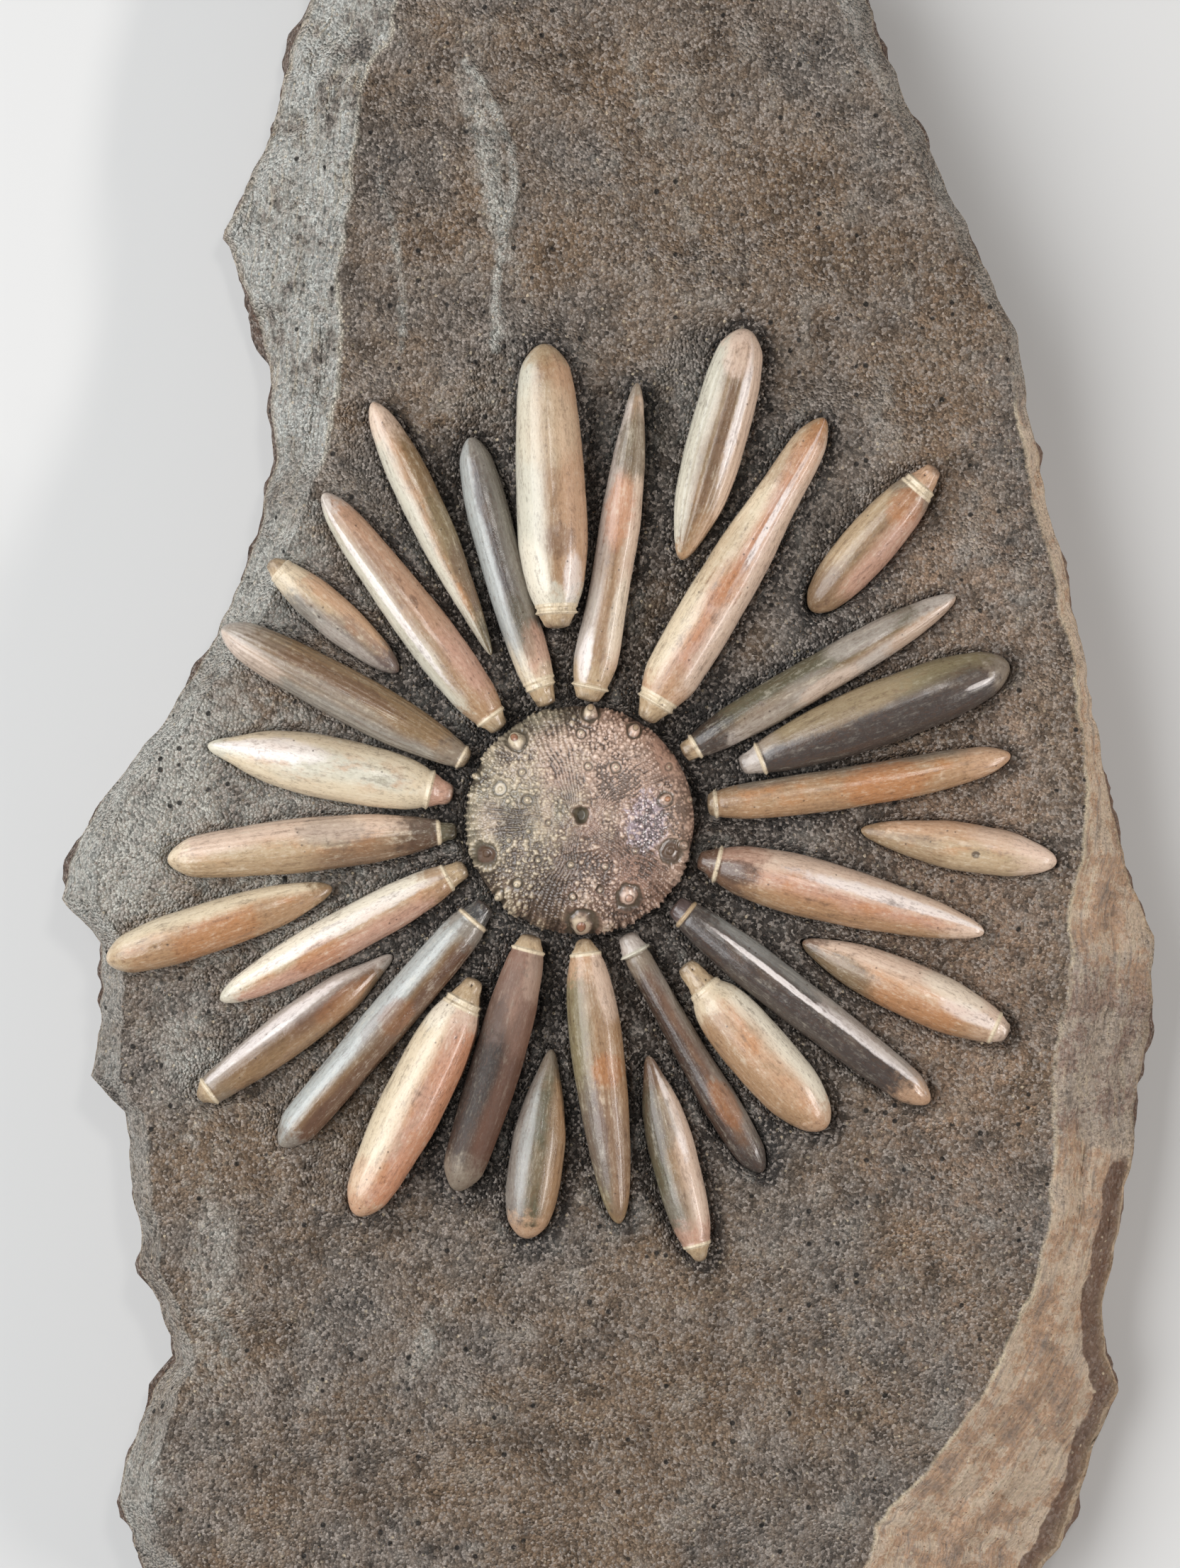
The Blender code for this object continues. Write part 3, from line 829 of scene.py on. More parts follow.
        Pit(1.8, 12.5, 0.5, 0.3)), stains_and_painted_light=stain_and_light_patches((0, 21, 0.5, 6, Hue.MAUVE, 0.45),
        (0.75, 20, 0.35, 6, Hue.PEARL, 0.55))),
    "spine_28": ClubFinish(Hue.FAWN, Hue.OAT, Hue.PINK, Hue.TAN, Hue.PEARL, -0.5, 0.1,
        stains_and_painted_light=stain_and_light_patches((-0.55, 31, 0.12, 16, Hue.GLOSS, 0.7), (0.6, 33, 0.6, 12, Hue.TAN, 0.5),
        (0.35, 26, 0.1, 1, Hue.BROWN, 0.6), (0.05, 33, 0.3, 6, Hue.BROWN, 0.3))),
    "spine_29": ClubFinish(Hue.TAN, Hue.OAT, Hue.DUN, Hue.MOSS, Hue.SHELL, -0.4, 0.1, root_reach=12,
        tip_reach=10, stains_and_painted_light=stain_and_light_patches((0.6, 20, 0.7, 7, Hue.OLIVE, 0.6),
        (-0.7, 5, 0.4, 5, Hue.OAT, 0.6), (0.6, 14, 0.5, 5, Hue.BROWN, 0.5))),
    "spine_30": ClubFinish(Hue.SOOT, Hue.PEWTER, Hue.ASH, Hue.CREAM, Hue.ASH, -0.5, 0.2, root_reach=11,
        double_ring=True, roughness=0.22, stains_and_painted_light=stain_and_light_patches((-0.6, 22, 0.2, 12, Hue.MIST, 0.6),
        (0.5, 8.5, 0.6, 4.5, Hue.PINK, 0.8), (-0.75, 28, 0.4, 9, Hue.MIST, 0.6),
        (0.6, 3.6, 0.5, 3, Hue.CREAM, 0.5), (-0.8, 42, 0.4, 6, Hue.MIST, 0.7),
        (0, 14, 0.4, 5, Hue.MOSS, 0.5))),
}


def club_sweep_tree() -> NodeTree:
    """The geometry tree that sweeps a round section along an axis and raises lengthwise ridges on it.

    Returns:
        The tree. It reads the attributes girth and ridge of the axis's points.
    """
    graph = new_group(
        "club sweep", "GeometryNodeTree",
        {"Geometry": "Geometry", "Sides": 96, "Ridge Count": 24.0, "Ridge Depth": 0.0, "Lump Depth": 0.0,
         "Lump Size": 0.008, "Seed": 0.0, "Finish": "Material"},
        {"Geometry": "Geometry"},
    )
    source = graph.source
    line = graph.shape("MeshToCurve", {0: source["Geometry"]})
    curve = graph.shape("SetCurveNormal", {0: line}, mode="Z_UP")
    section = graph.shape("CurvePrimitiveCircle", {"Resolution": source["Sides"], "Radius": 1.0})
    factor = graph.add("GeometryNodeSplineParameter").outputs["Factor"]
    marked = graph.shape("StoreNamedAttribute", {"Geometry": section, "Name": "turn", "Value": factor},
                         data_type="FLOAT", domain="POINT")
    feeds = {"Curve": curve, "Profile Curve": marked, "Scale": graph.named("girth"), "Fill Caps": True}
    swept = graph.shape("CurveToMesh", feeds)
    shift = graph.add("ShaderNodeCombineXYZ", {2: source["Seed"]}).outputs[0]
    seeded = graph.vector("ADD", graph.shape("InputPosition"), shift)
    angle = graph.times(graph.times(graph.named("turn"), math.tau), source["Ridge Count"])
    wave = graph.times(graph.math("COSINE", angle), source["Ridge Depth"])
    lumps = graph.noise(seeded, graph.math("DIVIDE", 1.0, source["Lump Size"]), 2.0, 0.5)
    lift = graph.times(graph.math("SUBTRACT", lumps, 0.5), source["Lump Depth"])
    rise = graph.times(graph.math("ADD", wave, lift), graph.named("ridge"))
    offset = graph.along(graph.shape("InputNormal"), rise)
    moved = graph.shape("SetPosition", {"Geometry": swept, "Offset": offset})
    return graph.finish(graph.shape("SetShadeSmooth", {0: moved}))


@dataclass
class Club:
    """One spine: it reads its axis from the CAD node, then builds and dresses the club round it."""

    name: str
    finish: ClubFinish
    sides: int = 96
    ridge_count: float = 24.0
    shaft_step: float = 0.7
    collar_step: float = 0.11
    base_step: float = 0.3
    ring_half: float = 0.24
    ring_gap: float = 1.1
    lump_depth: float = 0.35
    lump_size: float = 9.0
    least_girth: float = 0.03

    def __post_init__(self) -> None:
        """Reads the rings, and sets out the stations along the axis."""
        ring_centres, ring_radii = self.read_rings()
        steps = np.linalg.norm(np.diff(ring_centres, axis=0), axis=1)
        distances = np.concatenate([[0.0], np.cumsum(steps)])
        self.length = distances[-1]
        self.collared = len(ring_radii) == 11
        self.collar = distances[2] if self.collared else 0.0
        self.reach = self.stations()
        self.radii = self.girth_at(self.reach, distances, ring_radii)
        self.centres = np.stack(
            [monotone(distances, ring_centres[:, axis], self.reach) for axis in range(3)], axis=1)

    @property
    def seed(self) -> int:
        """The club's own number."""
        return int(self.name[-2:])

    def read_rings(self) -> tuple[Array, Array]:
        """The CAD solid's rings of corners, from root to tip.

        Returns:
            Each ring's middle and radius.
        """
        points = unique_points(self.name)
        middle = points.mean(axis=0)
        axis = np.linalg.svd(points - middle, full_matrices=False)[2][0]
        rings = points[np.argsort((points - middle) @ axis)].reshape(-1, 8, 3)
        centres = rings.mean(axis=1)
        radii = np.linalg.norm(rings - centres[:, None], axis=2).mean(axis=1)
        inner_first = np.hypot(*centres[0, :2]) < np.hypot(*centres[-1, :2])
        if inner_first != (self.finish.root_end is Root.INNER):
            centres, radii = centres[::-1], radii[::-1]
        return centres, radii

    def stations(self) -> Array:
        """Distances from the root end at which the section is set: close at the ends and the ring."""
        tip = self.length - 3.0 * np.linspace(1, 0, 12) ** 2
        if not self.collared:
            start = 3.0 * np.linspace(0, 1, 12) ** 2
            shaft = np.linspace(start[-1], tip[0], int((tip[0] - start[-1]) / self.shaft_step))
            return np.concatenate([start, shaft[1:-1], tip])
        past = self.collar + 0.7 + (self.ring_gap if self.finish.double_ring else 0.0)
        round_end = 0.5 * np.linspace(0, 1, 6) ** 2
        before = self.collar - 0.6
        base = np.linspace(round_end[-1], before, max(3, int((before - round_end[-1]) / self.base_step)))
        ring = np.linspace(before, past, int((past - before) / self.collar_step))
        neck = np.linspace(past, past + 2.0, 8)
        shaft = np.linspace(neck[-1], tip[0], int((tip[0] - neck[-1]) / self.shaft_step))
        return np.concatenate([round_end, base[1:], ring[1:], neck[1:], shaft[1:-1], tip])

    def girth_at(self, at: Array, distances: Array, ring_radii: Array) -> Array:
        """The radius at each station.

        Args:
            at: The stations.
            distances: The CAD rings' places.
            ring_radii: The CAD rings' radii.

        Returns:
            The radii.
        """
        squares = ring_radii ** 2
        squares[-1] = 0.0
        if not self.collared:
            squares[0] = 0.0
            return np.sqrt(np.maximum(monotone(distances, squares, at), self.least_girth ** 2))
        end, ring, neck = ring_radii[0], ring_radii[2], ring_radii[3]
        shaft = monotone(distances[3:], squares[3:], np.maximum(at, distances[3]))
        base_knots = np.array([0.0, 0.35, 0.55 * self.collar, self.collar - 0.5])
        base_squares = np.array([0.0, 0.94 * end, 0.5 * end + 0.42 * ring, 0.82 * ring]) ** 2
        base = monotone(base_knots, base_squares, np.minimum(at, base_knots[-1]))
        blend = ease(at, self.collar - 0.3, self.collar + 0.5)
        girth = np.sqrt(np.maximum((1 - blend) * base + blend * shaft, 0))
        groove = 0.06 * neck * bell(at - self.collar, 0.62, 0.35)
        girth = girth - groove
        rings = [(self.collar, ring)]
        if self.finish.double_ring:
            rings.append((self.collar + self.ring_gap, max(0.96 * ring, neck + 0.12)))
        for middle, top in rings:
            bump = np.exp(-np.abs((at - middle) / self.ring_half) ** 2.5)
            girth = np.maximum(girth, girth + (top - girth) * bump)
        return np.maximum(girth, self.least_girth)

    def frames(self) -> tuple[Array, Array]:
        """The right-hand side and the up direction at each station."""
        along = np.gradient(self.centres, axis=0)
        along /= np.linalg.norm(along, axis=1, keepdims=True)
        right = np.cross(along, (0.0, 0.0, 1.0))
        right /= np.linalg.norm(right, axis=1, keepdims=True)
        return right, np.cross(right, along)

    def axis_mesh(self) -> Mesh:
        """The axis as a line of points that carry the girth and the ridges' share."""
        mesh = bpy.data.meshes.new(f"{self.name}_axis")
        edges = [(index, index + 1) for index in range(len(self.centres) - 1)]
        mesh.from_pydata((self.centres * MM).tolist(), edges, [])
        store(mesh, "girth", self.radii * MM)
        start = self.collar + 2.5 if self.collared else 3.0
        ends = ease(self.reach, start - 2.0, start + 3.0) * ease(self.length - self.reach, 0.3, 4.0)
        store(mesh, "ridge", 0.12 + 0.88 * ends)
        return mesh

    def build(self, sweep: NodeTree, slot: str) -> Object:
        """Builds, pits and dresses the club.

        Args:
            sweep: The club sweep tree.
            slot: The record's slot for this node.

        Returns:
            The finished piece.
        """
        values = {
            "Sides": self.sides, "Ridge Count": self.ridge_count, "Ridge Depth": self.finish.ridges * MM,
            "Lump Depth": self.lump_depth * MM, "Lump Size": self.lump_size * MM, "Seed": 0.1 * self.seed,
            "Finish": self.material(),
        }
        mesh = grown_mesh(self.name, self.axis_mesh(), sweep, values)
        self.mark(mesh)
        piece = new_object(f"club_{self.name[-2:]}", mesh)
        place(piece, slot, self.name)
        return piece

    def mark(self, mesh: Mesh) -> None:
        """Sinks the pits, and stores each point's place on the club for the material."""
        points = np.empty(len(mesh.vertices) * 3)
        mesh.vertices.foreach_get("co", points)
        rings = points.reshape(len(self.reach), self.sides, 3) / MM
        right, up = self.frames()
        spokes = rings - self.centres[:, None]
        lateral = np.einsum("rsk,rk->rs", spokes, right)
        lift = np.einsum("rsk,rk->rs", spokes, up)
        reach = np.repeat(self.reach[:, None], self.sides, axis=1)
        pitted = np.zeros_like(lift)
        for pit in self.finish.pits:
            distance = np.hypot(lateral - pit.lateral, reach - pit.reach) / pit.radius
            hollow = np.where(lift > 0, ease(distance, 1.0, 0.0), 0.0)
            rings = rings - spokes / np.maximum(np.linalg.norm(spokes, axis=2, keepdims=True), 1e-6) \
                * (pit.depth * hollow)[:, :, None]
            pitted = np.maximum(pitted, hollow)
        unit = spokes / np.maximum(self.radii, 0.5)[:, None, None]
        rings = rings + self.chips(rings, reach)[:, :, None] * unit
        mesh.vertices.foreach_set("co", (rings * MM).ravel())
        radius = np.maximum(self.radii[:, None], 0.3)
        store(mesh, "club", np.stack([lateral / radius, reach, lift / radius], axis=2).reshape(-1, 3))
        store(mesh, "club_mm", np.stack([lateral, reach, lift], axis=2).reshape(-1, 3))
        store(mesh, "pit", pitted.ravel())
        mesh.update()

    def chips(self, rings: Array, reach: Array) -> Array:
        """Small knocks in the cup and fainter ones over the shaft.

        Args:
            rings: The points, ring by ring.
            reach: Their distances from the root end.

        Returns:
            How far out each point moves.
        """
        places = rings.reshape(-1, 3) + 13.0 * self.seed
        rough = NOISE.layers(places, (1.0, 0, 1.3), (0.6, 0, 0.6)).reshape(reach.shape)
        worn = 0.02 + 0.09 * ease(reach, self.collar, self.collar - 1.0) if self.collared else 0.02
        return np.minimum(rough, 0.3) * worn

    def material(self) -> Material:
        """The club's own stone: its colours, patches, streaks and polish, with painted highlights and
        painted shade in some patches and side hues.
        """
        finish = self.finish
        surface = Surface(finish.roughness + 0.08, 0.5, 0.85 * finish.coat, 0.2, 0.085)
        material, graph, shader = surface.start(f"{self.name} stone")
        club, club_mm = graph.attribute("club")["Vector"], graph.attribute("club_mm")["Vector"]
        streaks = graph.group(SHARED["streaks"], {"Club": club_mm, "Shift": 11.0 * self.seed})
        parts = graph.split(club)
        wander = graph.about(streaks["Cloud"], 0.9, parts[0])
        lightness = finish.body.lightness
        warmth = min(2.0 * lightness ** 2, 0.5)
        tint = Hue.TAN if lightness < 0.485 else Hue.AMBER
        colour = graph.mix(graph.ramp(streaks["Warm"], 0.44, 0.64, 0.0, warmth), finish.body, tint)
        # The left and right hues: partly the stone's colour, partly painted light and shade on each side.
        colour = graph.tints(colour, (Hue.OLIVE, streaks["Warm"], 0.46, 0.3, 0.6 * warmth),
            (finish.left, wander, finish.left_edge + 0.34, finish.left_edge - 0.3),
            (finish.right, wander, finish.right_edge - 0.3, finish.right_edge + 0.34))
        drift = graph.about(streaks["Mottle"], 9.0, parts[1])
        for hue, end, reach in ((finish.root, self.collar, finish.root_reach),
                                (finish.tip, self.length, -finish.tip_reach)):
            colour = graph.tint(colour, hue, drift, end + reach, end + 0.3 * reach, 0.85)
        ragged = graph.scaled(streaks["Mottle"], 1.4, graph.math("SUBTRACT", streaks["Streak"], 1.2))
        # Patches of the stone's colour, and painted highlights and painted shade.
        for stain_or_light in finish.stains_and_painted_light:
            mask = graph.group(SHARED["patch"], {
                "Place": club, "Ragged": ragged, "Across": stain_or_light.across, "Reach": stain_or_light.reach,
                "Half Width": stain_or_light.half_width, "Half Length": stain_or_light.half_length})["Mask"]
            colour = graph.cover(colour, stain_or_light.hue, mask, stain_or_light.strength)
        if self.collared:
            past = self.collar + 0.3 + (self.ring_gap if finish.double_ring else 0.0)
            colour = graph.tints(colour, (finish.ring, parts[1], past + 0.2, past - 0.1),
                (finish.cup, parts[1], self.collar - 0.2, self.collar - 0.5))
            # Darker towards the root end of the cup.
            root_end_darkening = graph.ramp(graph.scaled(streaks["Mottle"], 3.0, parts[1]), 3.6, 1.2, 0.0, 0.6)
            colour = graph.mix(root_end_darkening, colour, Hue.UMBER)
        shade = graph.scaled(streaks["Streak"], 0.5, graph.times(streaks["Mottle"], 0.55))
        colour = graph.tint(colour, Hue.UMBER, shade, 0.5, 0.3, 0.45)
        pale = min(0.7 * lightness, 0.4)
        colour = graph.tint(colour, Hue.BONE, shade, 0.55, 0.78, pale)
        fibre = graph.scaled(streaks["Fine"], 0.6, graph.times(streaks["Streak"], 0.4))
        colour = graph.tints(colour, (Hue.BROWN, fibre, 0.5, 0.36, 0.34),
            (Hue.BONE, fibre, 0.52, 0.66, 0.5 * pale))
        fleck_feeds = {"Vector": club_mm, "Cells": 0.9, "Share": 0.05, "Spread": 0.22}
        flecks = graph.group(SHARED["specks"], fleck_feeds)
        colour = graph.cover(colour, Hue.UMBER, flecks["Mask"], 0.6)
        colour = graph.tint(colour, Hue.UMBER, graph.attribute("pit")["Fac"], 0.3, 0.9, 0.85)
        graph.feed(shader.inputs["Base Color"], colour)
        rough = graph.about(streaks["Mottle"], 0.5, finish.roughness)
        graph.feed(shader.inputs["Roughness"], rough)
        surface.raise_bump(graph, shader, streaks["Height"])
        return material


# ---- slab


class Tone(Enum):
    """The kinds of patch that colour the sandstone, as attribute name and part."""

    PALE = ("stone_light", 0)
    TAN = ("stone_light", 1)
    BROWN = ("stone_dark", 0)
    BLUE = ("stone_dark", 1)


@dataclass(frozen=True)
class Patch:
    """A soft oval of colour on the slab: its middle, half sizes, turn in degrees, strength and tone."""

    x: float
    y: float
    half_x: float
    half_y: float
    turn: float
    strength: float
    tone: Tone

    def cover(self, points: Array) -> Array:
        """How much of the patch each point gets."""
        angle = math.radians(self.turn)
        x, y = points[:, 0] - self.x, points[:, 1] - self.y
        u = (x * math.cos(angle) + y * math.sin(angle)) / self.half_x
        v = (y * math.cos(angle) - x * math.sin(angle)) / self.half_y
        return self.strength * np.exp(-(u * u + v * v))


@dataclass(frozen=True)
class Line:
    """A thin line of colour through points of the slab, with its half width."""

    points: tuple[tuple[float, float], ...]
    half_width: float
    tone: Tone
    strength: float = 1.0

    def cover(self, points: Array) -> Array:
        """How much of the line each point gets."""
        nearest = np.full(len(points), np.inf)
        for start, end in zip(self.points, self.points[1:]):
            start, way = np.array(start), np.array(end) - np.array(start)
            part = np.clip(((points[:, :2] - start) @ way) / (way @ way), 0, 1)
            away = np.linalg.norm(points[:, :2] - start - part[:, None] * way, axis=1)
            nearest = np.minimum(nearest, away)
        return self.strength * np.exp(-(nearest / self.half_width) ** 2)


RIDGES = (
    Line(((-19.8, 128.4), (-16.6, 125.3), (-14.2, 119.6), (-11.8, 114), (-10.9, 106.8), (-12.6, 101.3),
          (-14.2, 90.8), (-14.2, 79.7)), 0.9, Tone.PALE, 0.8),
    Line(((-34.2, 108.5), (-32.5, 103.7), (-31, 96.5), (-30.1, 89.3), (-30.1, 79.7)), 1, Tone.PALE, 0.55),
    Line(((8.4, 132.2), (11.8, 121.1), (17.3, 105.6), (21.7, 90)), 1.2, Tone.PALE, 0.35),
    Line(((-25, -83.2), (-27, -90), (-29.4, -96.5)), 1.2, Tone.PALE, 0.5),
    Line(((-58, 18), (-64, 8), (-70, 2), (-78, -6)), 1.6, Tone.PALE, 0.4),
)
# The pale patches on the left side are partly pale grey stone and partly painted light where the window
# lights that side.
STONE_PATCHES: tuple[Patch | Line, ...] = RIDGES + tuple(Patch(*row, tone) for tone, rows in (
    (Tone.PALE, ((-15, 110, 3, 22, 12, 0.8), (-10, 75, 3, 12, 8, 0.35), (10, 125, 2, 14, 12, 0.4),
        (-26, -89, 3, 9, -35, 0.5), (-76, 2, 16, 28, -30, 1.2), (-52, -6, 24, 34, 0, 0.6),
        (-56, 38, 10, 20, -30, 0.9), (-66, -40, 10, 16, 0, 0.5), (-78, -112, 12, 14, 0, 0.6),
        (-62, -80, 6, 30, 0, 0.5), (80, 10, 5, 22, 8, 0.3))),
    (Tone.BROWN, ((20, 105, 26, 16, 20, 0.7), (-5, 132, 22, 12, 0, 0.5), (55, 78, 14, 22, 10, 0.5),
        (0, -112, 34, 20, 0, 0.7), (35, -85, 24, 14, -20, 0.5), (-50, -70, 16, 16, 0, 0.5),
        (-40, -100, 22, 12, 30, 0.5), (-60, -56, 13, 12, 20, 1))),
    (Tone.BLUE, ((-35, 0, 42, 50, 0, 0.55), (8, 60, 50, 22, 0, 0.5), (68, 24, 16, 26, 0, 0.4))),
    (Tone.TAN, ((64, -5, 22, 80, 0, 0.7),)),
) for row in rows)


@dataclass
class MatrixSlab:
    """The slab of sandstone: a face that banks up to the fossil, a bevel, walls and an underside."""

    clubs: list[Club]
    core: tuple[float, float] = (-108.0, 118.0)
    turning_radius: float = 60.0
    top: float = 26.0
    rim_inset: float = 1.2
    foot_inset: float = 3.0
    bulge_share: float = 0.45
    outline_step: float = 1.1
    least_step: float = 0.35
    bevel_rings: int = 18
    wall_rings: int = 10
    fine_step: float = 0.46
    coarse_step: float = 0.95
    fine_reach: float = 2.2
    bank_reach: float = 2.4
    burial: float = 0.3
    root_burial: float = 0.75
    groove_depth: float = 0.8
    test_radius: float = 19.3
    moat_depth: float = 1.3
    seat_radii: tuple[float, ...] = (0.0, 13.1, 17.95, 19.3, 19.6)
    seat_heights: tuple[float, ...] = (18.3, 18.3, 21.8, 25.2, 60.0)
    shoulder_width: float = 9.0
    shoulder_drop: float = 2.8
    # Where a point looks for the club whose painted shadow falls on it.
    lee_shift: tuple[float, float] = (-1.5, 1.0)
    edge_ragged: float = 0.35
    bevel_ragged: float = 1.1
    seed: int = 7

    def __post_init__(self) -> None:
        """Reads the CAD slab's outline and sets up the noise."""
        self.noise = SmoothNoise(self.seed)
        self.read_outline()

    def to_capsule(self, points: Array) -> tuple[Array, Array]:
        """The place round the core and the distance from it of plan points.

        Args:
            points: Rows of x, y.

        Returns:
            The length round the core from its lower right end, and the distance from it.
        """
        low, high = self.core
        x, y = points[:, 0], points[:, 1]
        nearest = np.clip(y, low, high)
        distance = np.hypot(x, y - nearest)
        side, half_turn = high - low, math.pi * self.turning_radius
        angle = np.arctan2(y - nearest, x)
        above, below = y > high, y < low
        place_round = np.where(x >= 0, y - low, side + half_turn + high - y)
        place_round = np.where(above, side + self.turning_radius * angle, place_round)
        lower = 2 * side + half_turn + self.turning_radius * (np.mod(angle, math.tau) - math.pi)
        return np.where(below, lower, place_round), distance

    def from_capsule(self, place_round: Array, distance: Array) -> Array:
        """The plan points at places round the core and distances from it."""
        low, high = self.core
        side, half_turn = high - low, math.pi * self.turning_radius
        q = np.mod(place_round, 2 * (side + half_turn))
        zones = [q < side, q < side + half_turn, q < 2 * side + half_turn]
        y = np.select(zones, [low + q, np.full_like(q, high), high - (q - side - half_turn)], low)
        turns = [np.zeros_like(q), (q - side) / self.turning_radius, np.full_like(q, math.pi)]
        angle = np.select(zones, turns, math.pi + (q - 2 * side - half_turn) / self.turning_radius)
        return np.stack([distance * np.cos(angle), y + distance * np.sin(angle)], axis=1)

    def read_outline(self) -> None:
        """Finds the outline's stations in the CAD slab: where, how far out, bevel width and rim height."""
        points = unique_points("matrix_slab")
        bulge = points[(points[:, 2] > 0.1) & (points[:, 2] < 11.0)]
        where, distance = self.to_capsule(bulge)
        face = points[np.abs(points[:, 2] - self.top) < 0.01]
        face_where, face_distance = self.to_capsule(face)
        bevel = np.full(len(bulge), np.nan)
        for index, (q, d) in enumerate(zip(where, distance)):
            between = (face_distance < d - self.rim_inset) & (face_distance > 0.5 * d)
            match = (np.abs(face_where - q) < 0.05) & between
            if match.any():
                bevel[index] = d - self.rim_inset - face_distance[match].max()
        order = np.argsort(where)
        where, distance, bevel, height = where[order], distance[order], bevel[order], bulge[order, 2]
        self.perimeter = 2 * (self.core[1] - self.core[0] + math.pi * self.turning_radius)
        known = ~np.isnan(bevel)
        bevel = np.interp(where, where[known], bevel[known], period=self.perimeter)
        log.info("outline: %d stations, %d bevel widths read", len(where), known.sum())
        count = int(self.perimeter / self.outline_step)
        even = np.arange(count) * self.perimeter / count
        crowded = np.sort(np.concatenate([where, even]))
        self.places = crowded[np.concatenate([[True], np.diff(crowded) > self.least_step])]
        self.edge, self.bevel, rim = (np.interp(self.places, where, values, period=self.perimeter)
                                      for values in (distance, bevel, height))
        around = np.column_stack([self.from_capsule(self.places, self.edge), np.zeros(len(self.places))])
        ragged = self.noise.layers(around, (1.0, 0, 7.0), (0.6, 60, 2.6))
        self.edge += self.edge_ragged * (ragged - 0.5)
        wander = self.noise.layers(around, (1.0, 25, 14.0), (0.14, 85, 4.1))
        self.bevel += self.bevel_ragged * wander * ease(self.bevel, 2.0, 9.0)
        self.rim = rim / self.bulge_share

    def around(self, where: Array, values: Array) -> Array:
        """A value of the outline's stations, read at places round the core."""
        return np.interp(where, self.places, values, period=self.perimeter)

    def loop(self, inset: Array | float) -> Array:
        """The outline moved in by an inset, as plan points."""
        return self.from_capsule(self.places, self.edge - inset)

    def ground_loop(self, inset: float) -> Array:
        """The outline moved in by an inset, on the ground."""
        return np.column_stack([self.loop(inset), np.zeros(len(self.places))])

    def fossil_gap(self, points: Array) -> tuple[Array, Array, Array, Array]:
        """How the clubs lie round each plan point.

        Args:
            points: Rows of x, y.

        Returns:
            The gap to the nearest club, how far the stone banks up, its ceiling, and how much it darkens
            near the clubs, partly darker stone and partly painted shade.
        """
        gap = np.full(len(points), FAR)
        dark_soil_and_shade = np.zeros(len(points))
        pull, pulled = np.full(len(points), 0.02), np.zeros(len(points))
        ceiling = np.full(len(points), 60.0)
        for club in self.clubs:
            centres, radii = club.centres, club.radii
            low, high = centres[:, :2].min(0) - 16, centres[:, :2].max(0) + 16
            near = np.flatnonzero(((points > low) & (points < high)).all(axis=1))
            away = np.linalg.norm(points[near][:, None] - centres[None, :, :2], axis=2)
            nearest = (away - radii).argmin(axis=1)
            flat = away[np.arange(len(near)), nearest]
            radius, axis_height = radii[nearest], centres[nearest, 2]
            own_gap = flat - radius
            share = ease(club.reach[nearest], 9.0, 2.0)
            sunk = self.burial + (self.root_burial - self.burial) * share
            bank = np.maximum(axis_height - sunk * np.maximum(radius, 1.2), self.top - 0.35)
            weight = fade(own_gap, self.bank_reach, 1.3)
            pull[near] += weight ** 2
            pulled[near] += weight ** 2 * (bank - self.top) * weight
            under = own_gap < 0.05
            depth = np.sqrt(np.maximum(radius ** 2 - flat ** 2, 0))
            lowest = np.minimum(ceiling[near], axis_height - depth - 0.12)
            ceiling[near] = np.where(under, lowest, ceiling[near])
            gap[near] = np.minimum(gap[near], own_gap)
            dark_soil_and_shade[near] += fade(own_gap, 3.6, 1)
        return gap, pulled / pull, ceiling, dark_soil_and_shade

    def face_height(self, points: Array) -> tuple[Array, Array, Array]:
        """The face's height and how near the fossil is.

        Args:
            points: Rows of x, y on the face.

        Returns:
            Each point's height, its gap to the fossil, and its darkening near the fossil (partly darker
            stone, partly painted shade and a painted shadow) beside its fine relief.
        """
        flat = np.column_stack([points, np.zeros(len(points))])
        gap, bank, ceiling, dark_soil_and_shade = self.fossil_gap(points)
        fine = self.noise.layers(flat, (0.32, 50, 4.6), (0.2, 30, 1.9), (0.12, 20, 0.95))
        drawn = flat * (1.0, 0.42, 1.0) + (0.3, 0.0, 0.0) * points[:, 1:2]
        gullies = 1.0 - 2.2 * np.abs(self.noise.at(drawn + 70, 6.5))
        gullies *= ease(self.noise.at(flat + 5, 24.0), -0.5, 0.4)
        lumps = self.noise.layers(flat, (0.7, 0, 33.0), (1.3, 90, 12.0)) + fine + 0.4 * gullies
        for ridge in RIDGES:
            lumps += ridge.cover(points) * (1.1 + 0.9 * self.noise.at(flat + 35, 3.0))
        height = self.top + bank + lumps * (0.35 + 0.65 * ease(gap, -1.0, 5.0))
        height -= self.shoulder(points) * ease(gap, 0.0, 6.0)
        wear = 0.35 + 0.65 * ease(self.noise.at(flat + 11, 5.0), -0.5, 0.7)
        height -= self.groove_depth * wear * fade(gap - 0.15, 0.55)
        from_test = np.hypot(points[:, 0], points[:, 1]) - self.test_radius
        height -= self.moat_depth * fade(from_test, 1.3)
        height = np.minimum(height, ceiling)
        seat = np.interp(from_test + self.test_radius, self.seat_radii, self.seat_heights)
        height = np.minimum(height, seat)
        # Darker round the test, partly darker stone and partly painted shade; then a painted shadow on the
        # lower right of each club, away from the lamps.
        dark_soil_and_shade += 1.1 * fade(from_test, 3.5, 1)
        shadow_gap = self.fossil_gap(points + self.lee_shift)[0]
        dark_soil_and_shade += 0.5 * fade(shadow_gap, 0.9)
        return height, np.minimum(gap, from_test), np.column_stack([dark_soil_and_shade, fine + 0.12 * gullies])

